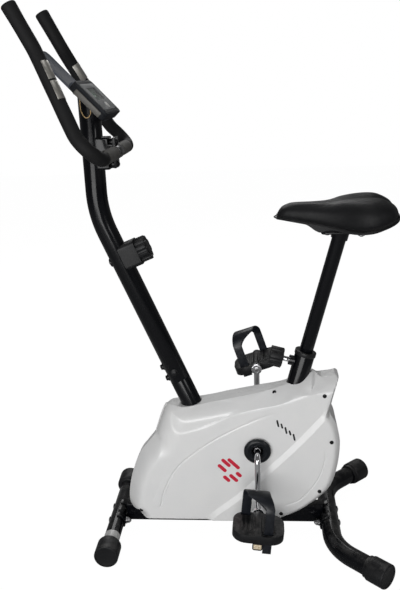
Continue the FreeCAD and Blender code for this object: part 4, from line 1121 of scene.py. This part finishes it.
def scatter_tree(name):
    """Set one shape on every point of a mesh, turned to the given angles, and give it a material."""
    tree = bpy.data.node_groups.new(name, "GeometryNodeTree")
    tree.interface.new_socket("Places", in_out="INPUT", socket_type="NodeSocketGeometry")
    tree.interface.new_socket("Shape", in_out="INPUT", socket_type="NodeSocketObject")
    tree.interface.new_socket("Turn", in_out="INPUT", socket_type="NodeSocketRotation")
    tree.interface.new_socket("Spread", in_out="INPUT", socket_type="NodeSocketFloat")
    tree.interface.new_socket("Finish", in_out="INPUT", socket_type="NodeSocketMaterial")
    tree.interface.new_socket("Pieces", in_out="OUTPUT", socket_type="NodeSocketGeometry")
    net = Net(tree)
    given = net.node("NodeGroupInput")
    result = net.node("NodeGroupOutput")
    shape = net.node("GeometryNodeObjectInfo", {"Object": given.outputs["Shape"]})
    spin = net.node("FunctionNodeRandomValue", data_type="FLOAT")
    net.tree.links.new(given.outputs["Spread"], spin.inputs[3])
    spin.inputs["Seed"].default_value = 7
    lean = net.node("FunctionNodeAxisAngleToRotation", {"Axis": (0, 0, 1), "Angle": spin.outputs[1]})
    turns = {"Rotation": given.outputs["Turn"], "Rotate By": lean.outputs[0]}
    both = net.node("FunctionNodeRotateRotation", turns, rotation_space="LOCAL")
    copies = net.node("GeometryNodeInstanceOnPoints", {"Points": given.outputs["Places"],
                                                       "Instance": shape.outputs["Geometry"],
                                                       "Rotation": both.outputs[0]})
    real = net.node("GeometryNodeRealizeInstances", {0: copies.outputs[0]})
    finish = net.node("GeometryNodeSetMaterial", {"Geometry": real.outputs[0],
                                                  "Material": given.outputs["Finish"]})
    net.tree.links.new(finish.outputs[0], result.inputs[0])
    return tree


scatter = scatter_tree("set_on_points")


def set_inputs(modifier, tree, **values):
    sockets = {item.name: item.identifier for item in tree.interface.items_tree if item.in_out == "INPUT"}
    for key, value in values.items():
        modifier[sockets[key]] = value


def shroud_screws():
    """Six dark pan heads round the left half."""
    y = shell_y(SCREW_PLACES)
    places = [at(x, depth - 0.3, z) for (x, z), depth in zip(SCREW_PLACES, y)]
    mesh = bpy.data.meshes.new("shroud_screws")
    mesh.from_pydata([tuple(p) for p in places], [], [])
    piece = bpy.data.objects.new("shroud_screws", mesh)
    bpy.context.collection.objects.link(piece)
    head = bpy.data.objects.new("pan_head", pan_head(4.8, 2.2))
    bpy.context.collection.objects.link(head)
    modifier = piece.modifiers.new("screws", "NODES")
    modifier.node_group = scatter
    set_inputs(modifier, scatter, Shape=head, Turn=(-math.pi / 2, 0.0, 0.0), Spread=3.0,
               Finish=materials["black_fastener"])
    settle(piece)
    bpy.data.objects.remove(head, do_unlink=True)
    close_up(piece, 1e-7)
    shade(piece, 35.0)
    install(piece, "frame", "black_fastener", "housing_screws")


shroud_halves()
shroud_graphics()
shroud_screws()


# --- saddle -------------------------------------------------------------------------------------------------
SADDLE_PLAN = ((-47, 0), (-52, 17), (-80, 33), (-130, 42), (-180, 65), (-228, 96), (-262, 103), (-296, 86),
               (-312, 48), (-316, 0))
SADDLE_TOP = ((-47, 803), (-58, 819), (-74, 825), (-156, 827), (-198, 835), (-241, 838), (-274, 837),
              (-300, 830), (-312, 817), (-316, 803))
SADDLE_UNDER = ((-47, 797), (-73, 794), (-123, 785), (-169, 777), (-202, 771), (-225, 770), (-252, 773),
                (-279, 781), (-303, 791), (-316, 797))
CHANNEL_DEPTH = 9.0
CHANNEL_REACH = 17.0
SKIN_CELL = 5.0
SWELL_CAP = 3.0
SWELL_PRESSURE = 4.0
SWELL_FRAMES = 20
PLATE_TOP = 766.0
PIPING_RADIUS = 1.6


def along_x(corners, x):
    given = smooth_chain(corners, 2.0)
    order = np.argsort(given[:, 0])
    return np.interp(x, given[order, 0], given[order, 1])


def saddle_sections():
    """Half width, top and lower edge at stations from nose to rear, closer together at the ends."""
    share = (1 - np.cos(np.linspace(0.0, math.pi, 58))) / 2
    x = -47.4 + share * (-315.6 + 47.4)
    half = np.maximum(along_x(SADDLE_PLAN, x), 1.5)
    return x, half, along_x(SADDLE_TOP, x), along_x(SADDLE_UNDER, x)


def saddle_pad():
    """Crowned pad with a relief channel at its rear, sides that roll under to the pan and a slightly uneven skin."""
    sides = 72
    vertices = []
    x, half, top, under = saddle_sections()
    for place, wide, high, low in zip(x, half, top, under):
        belt = low + 0.34 * (high - low)
        for k in range(sides):
            angle = 2 * math.pi * k / sides
            cosine, sine = math.cos(angle), math.sin(angle)
            y = (wide - 1.5) * math.copysign(abs(cosine) ** 0.72, cosine)
            if sine > 0:
                z = belt + (high - belt) * sine ** 0.62
                start = float(ease((-150 - place) / 50))
                dip = CHANNEL_DEPTH * start * math.exp(-(y / CHANNEL_REACH) ** 2)
                z -= dip * sine
            else:
                z = belt - (belt - low) * abs(sine) ** 0.5
                y *= 1 - 0.10 * abs(sine)
            vertices.append(at(place, y, z))
    pad = new_piece("saddle_pad", vertices, bar_faces(len(x), sides), 60.0)
    close_up(pad)
    skin = pad.modifiers.new("skin", "REMESH")
    skin.mode = "VOXEL"
    skin.voxel_size = SKIN_CELL * MM
    settle(pad)
    inflate(pad)
    even = pad.modifiers.new("even", "SMOOTH")
    even.factor = 0.5
    even.iterations = 6
    fine = pad.modifiers.new("fine", "SUBSURF")
    fine.levels = 1
    fine.render_levels = 1
    settle(pad)
    shade(pad, 60.0)
    install(pad, "seat_unit", "saddle_vinyl", "saddle_cushion")


def inflate(pad):
    """Run a short pressure cloth on the skin and keep at most the cap of each point's shift.

    The skin slides more than it swells: most points reach the cap, and the mean gain outwards is under half a
    millimetre. The pad's shape is that of its sections; this only adds slight unevenness.
    """
    start = np.empty(len(pad.data.vertices) * 3)
    pad.data.vertices.foreach_get("co", start)
    cloth = pad.modifiers.new("swell", "CLOTH")
    cloth.settings.quality = 5
    cloth.settings.mass = 0.3
    cloth.settings.use_pressure = True
    cloth.settings.uniform_pressure_force = SWELL_PRESSURE
    cloth.settings.effector_weights.gravity = 0.0
    scene = bpy.context.scene
    for number in range(1, SWELL_FRAMES + 1):
        scene.frame_set(number)
    settle(pad)
    scene.frame_set(1)
    moved = np.empty(len(start))
    pad.data.vertices.foreach_get("co", moved)
    shift = (moved - start).reshape(-1, 3)
    length = np.linalg.norm(shift, axis=1)
    share = np.minimum(1.0, SWELL_CAP * MM / np.maximum(length, 1e-9))
    pad.data.vertices.foreach_set("co", (start.reshape(-1, 3) + shift * share[:, None]).ravel())
    pad.data.update()


def saddle_welt():
    """Piping round the pad's lower edge, where its side panel is sewn to the underside."""
    x, half, top, under = saddle_sections()
    rows = range(2, len(x) - 2, 2)
    left = [(x[i], half[i] * 0.985, under[i] + 0.10 * (top[i] - under[i])) for i in rows]
    right = [(px, -py, pz) for px, py, pz in reversed(left)]
    rear = [(-317.5, 0, under[-1] + 1.0)]
    nose = [(-45.8, 0, under[0] + 1.0)]
    loop = nose + left + rear + right + nose
    welt = swept_tube("saddle_welt", loop, steady(PIPING_RADIUS), step=5.0, sides=12)
    install(welt, "seat_unit", "saddle_vinyl")


def saddle_pan():
    """Plastic pan that follows the pad's underside and comes down to the post's plate."""
    sides = 48
    x, half, top, under = saddle_sections()
    rows = range(4, len(x) - 4)
    vertices = []
    for i in rows:
        wide = half[i] * 0.80
        for k in range(sides):
            angle = 2 * math.pi * k / sides
            y = wide * math.copysign(abs(math.cos(angle)) ** 0.6, math.cos(angle))
            z = under[i] + 6.0
            if math.sin(angle) < 0:
                z = under[i] - 3.0 * abs(math.sin(angle)) ** 0.4
                near = float(ease((76 - abs(x[i] + 188)) / 36) * ease((52 - abs(y)) / 20))
                z -= near * max(0.0, z - PLATE_TOP)
            vertices.append(at(x[i], y, z))
    pan = new_piece("saddle_pan", vertices, bar_faces(len(rows), sides), 40.0)
    close_up(pan)
    shade(pan, 40.0)
    install(pan, "seat_unit", "black_plastic", "saddle_base")


saddle_pad()
saddle_welt()
saddle_pan()


# --- foam sleeves -------------------------------------------------------------------------------------------
ARM_ROUTE = ((470, 114, 1254), (426, 115, 1168), (344, 170, 997), (300, 190, 951), (300, 128.6, 951))
ARM_RADII = (80, 80, 38)
GRIP_RADIUS = 15.0
TUBE_RADIUS = 10.9


def arm_sleeves():
    """One long black sleeve over each arm, slightly fuller at its free end."""
    for name, side in SIDES:
        route = rounded_path([(x, side * y, z) for x, y, z in ARM_ROUTE], ARM_RADII, 4.0)

        def sleeve_radius(distances, length):
            fuller = 0.9 * np.exp(-(distances / 26.0) ** 2)
            uneven = 0.12 * np.sin(distances / 31.0) + 0.1 * np.sin(distances / 13.0 + side)
            return GRIP_RADIUS + fuller + uneven

        sleeve = swept_tube("%s_arm_sleeve" % name, route, sleeve_radius, 4.0, 56, 4.5)
        install(sleeve, "handlebar_unit", "black_foam", *(("arm_grips",) if side > 0 else ()))


def bar_sleeves():
    """Two grey sleeves on the cross bar with the clamp between them."""
    for name, side in SIDES:
        route = [(300, side * 128.2, 951), (300, side * 27, 951)]

        def sleeve_radius(distances, length):
            return GRIP_RADIUS - 0.1 + 0.15 * np.sin(distances / 17.0)

        sleeve = swept_tube("%s_bar_sleeve" % name, route, sleeve_radius, 4.0, 56, 3.5)
        install(sleeve, "handlebar_unit", "grey_foam", *(("bar_grips",) if side > 0 else ()))


def bar_tube():
    """The bent steel tube inside the sleeves, bare where the clamp grips it."""
    half = [(468.6, 114, 1251.4), *ARM_ROUTE[1:-1]]
    corners = half + [(x, -y, z) for x, y, z in reversed(half)]
    route = rounded_path(corners, ARM_RADII + ARM_RADII[::-1], 4.0)
    tube = swept_tube("bar_tube", route, steady(TUBE_RADIUS), 4.0, 72, 1.0)
    install(tube, "handlebar_unit", "black_paint", "handlebar_tube")


arm_sleeves()
bar_sleeves()
bar_tube()


# --- finished copies of the machined and moulded parts ------------------------------------------------------
EDGE_WIDTHS = {
    "main_rail": 1.6, "post_stub": 0.8, "seat_tube": 1.0, "front_stabilizer": 0.5, "rear_stabilizer": 0.5,
    "foot_saddles": 0.7, "front_caps": 1.6, "rear_caps": 1.6, "stabilizer_bolts": 0.4, "crank_covers": 1.2,
    "seat_bush": 0.8, "handlebar_post": 0.6, "post_bolts": 0.4, "tension_housing": 1.4, "tension_knob": 1.2,
    "clamp_cap": 0.9, "clamp_bolts": 0.4, "tablet_rest": 1.0, "console_back": 1.6, "console_bezel": 1.0,
    "console_face": 0.5, "mode_button": 0.4, "crank": 0.5, "pedal_spindles": 0.3, "left_pedal": 1.0,
    "right_pedal": 1.0, "left_strap": 0.6, "right_strap": 0.6, "left_reflector": 0.4, "right_reflector": 0.4,
    "seat_post": 0.4, "seat_bolts": 0.4, "knob_sleeve": 0.5, "seat_knob": 1.4,
    "pulse_plates": 0.25, "console_screws": 0.3,
}


def finished_copies():
    for node, width in EDGE_WIDTHS.items():
        softened(node, body_of_node[node], slot_of_node[node], width)


finished_copies()


# --- labels -------------------------------------------------------------------------------------------------
def foot_band():
    """Blank pale label wrapped round the front foot beside its left saddle."""
    route = [(360, 96, 28.2), (360, 132, 28.2)]
    band = swept_tube("foot_band", route, steady(19.25), 3.0, 48, 0.1)
    band.data.materials.append(films["label_film"])
    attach(band, "frame")


foot_band()


# --- console trim -------------------------------------------------------------------------------------------
CONSOLE_FOOT = (302.0, 1037.0)
CONSOLE_SLOPE = math.radians(47.0)


def on_console(run, across, rise):
    """A place given along the console's face, across it and above it."""
    x = CONSOLE_FOOT[0] + run * math.cos(CONSOLE_SLOPE) - rise * math.sin(CONSOLE_SLOPE)
    z = CONSOLE_FOOT[1] + run * math.sin(CONSOLE_SLOPE) + rise * math.cos(CONSOLE_SLOPE)
    return at(x, across, z)


def round_loop(low, high, radius, parts=6):
    """Corners of a rectangle with rounded corners, in order."""
    (ax, az), (bx, bz) = low, high
    loop = []
    for cx, cz, first in ((bx - radius, bz - radius, 0), (ax + radius, bz - radius, 90),
                          (ax + radius, az + radius, 180), (bx - radius, az + radius, 270)):
        for part in range(parts + 1):
            angle = math.radians(first + 90 * part / parts)
            loop.append((cx + radius * math.cos(angle), cz + radius * math.sin(angle)))
    return loop


def console_trim():
    """A brown-grey plate let into each side of the casing."""
    for name, side in SIDES:
        rings = ((0.0, 71.5), (0.0, 73.5), (0.6, 73.9))
        vertices = []
        for inset, across in rings:
            loop = round_loop((6 + inset, -17 + inset), (76 - inset, -5 - inset), 2.5)
            vertices += [on_console(run, side * across, rise) for run, rise in loop]
        count = len(vertices) // len(rings)
        faces = bar_faces(len(rings), count)
        plate = new_piece("%s_console_plate" % name, vertices, faces, 30.0)
        close_up(plate)
        shade(plate, 30.0)
        plate.data.materials.append(films["trim_film"])
        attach(plate, body_of_node["console_back"])


console_trim()
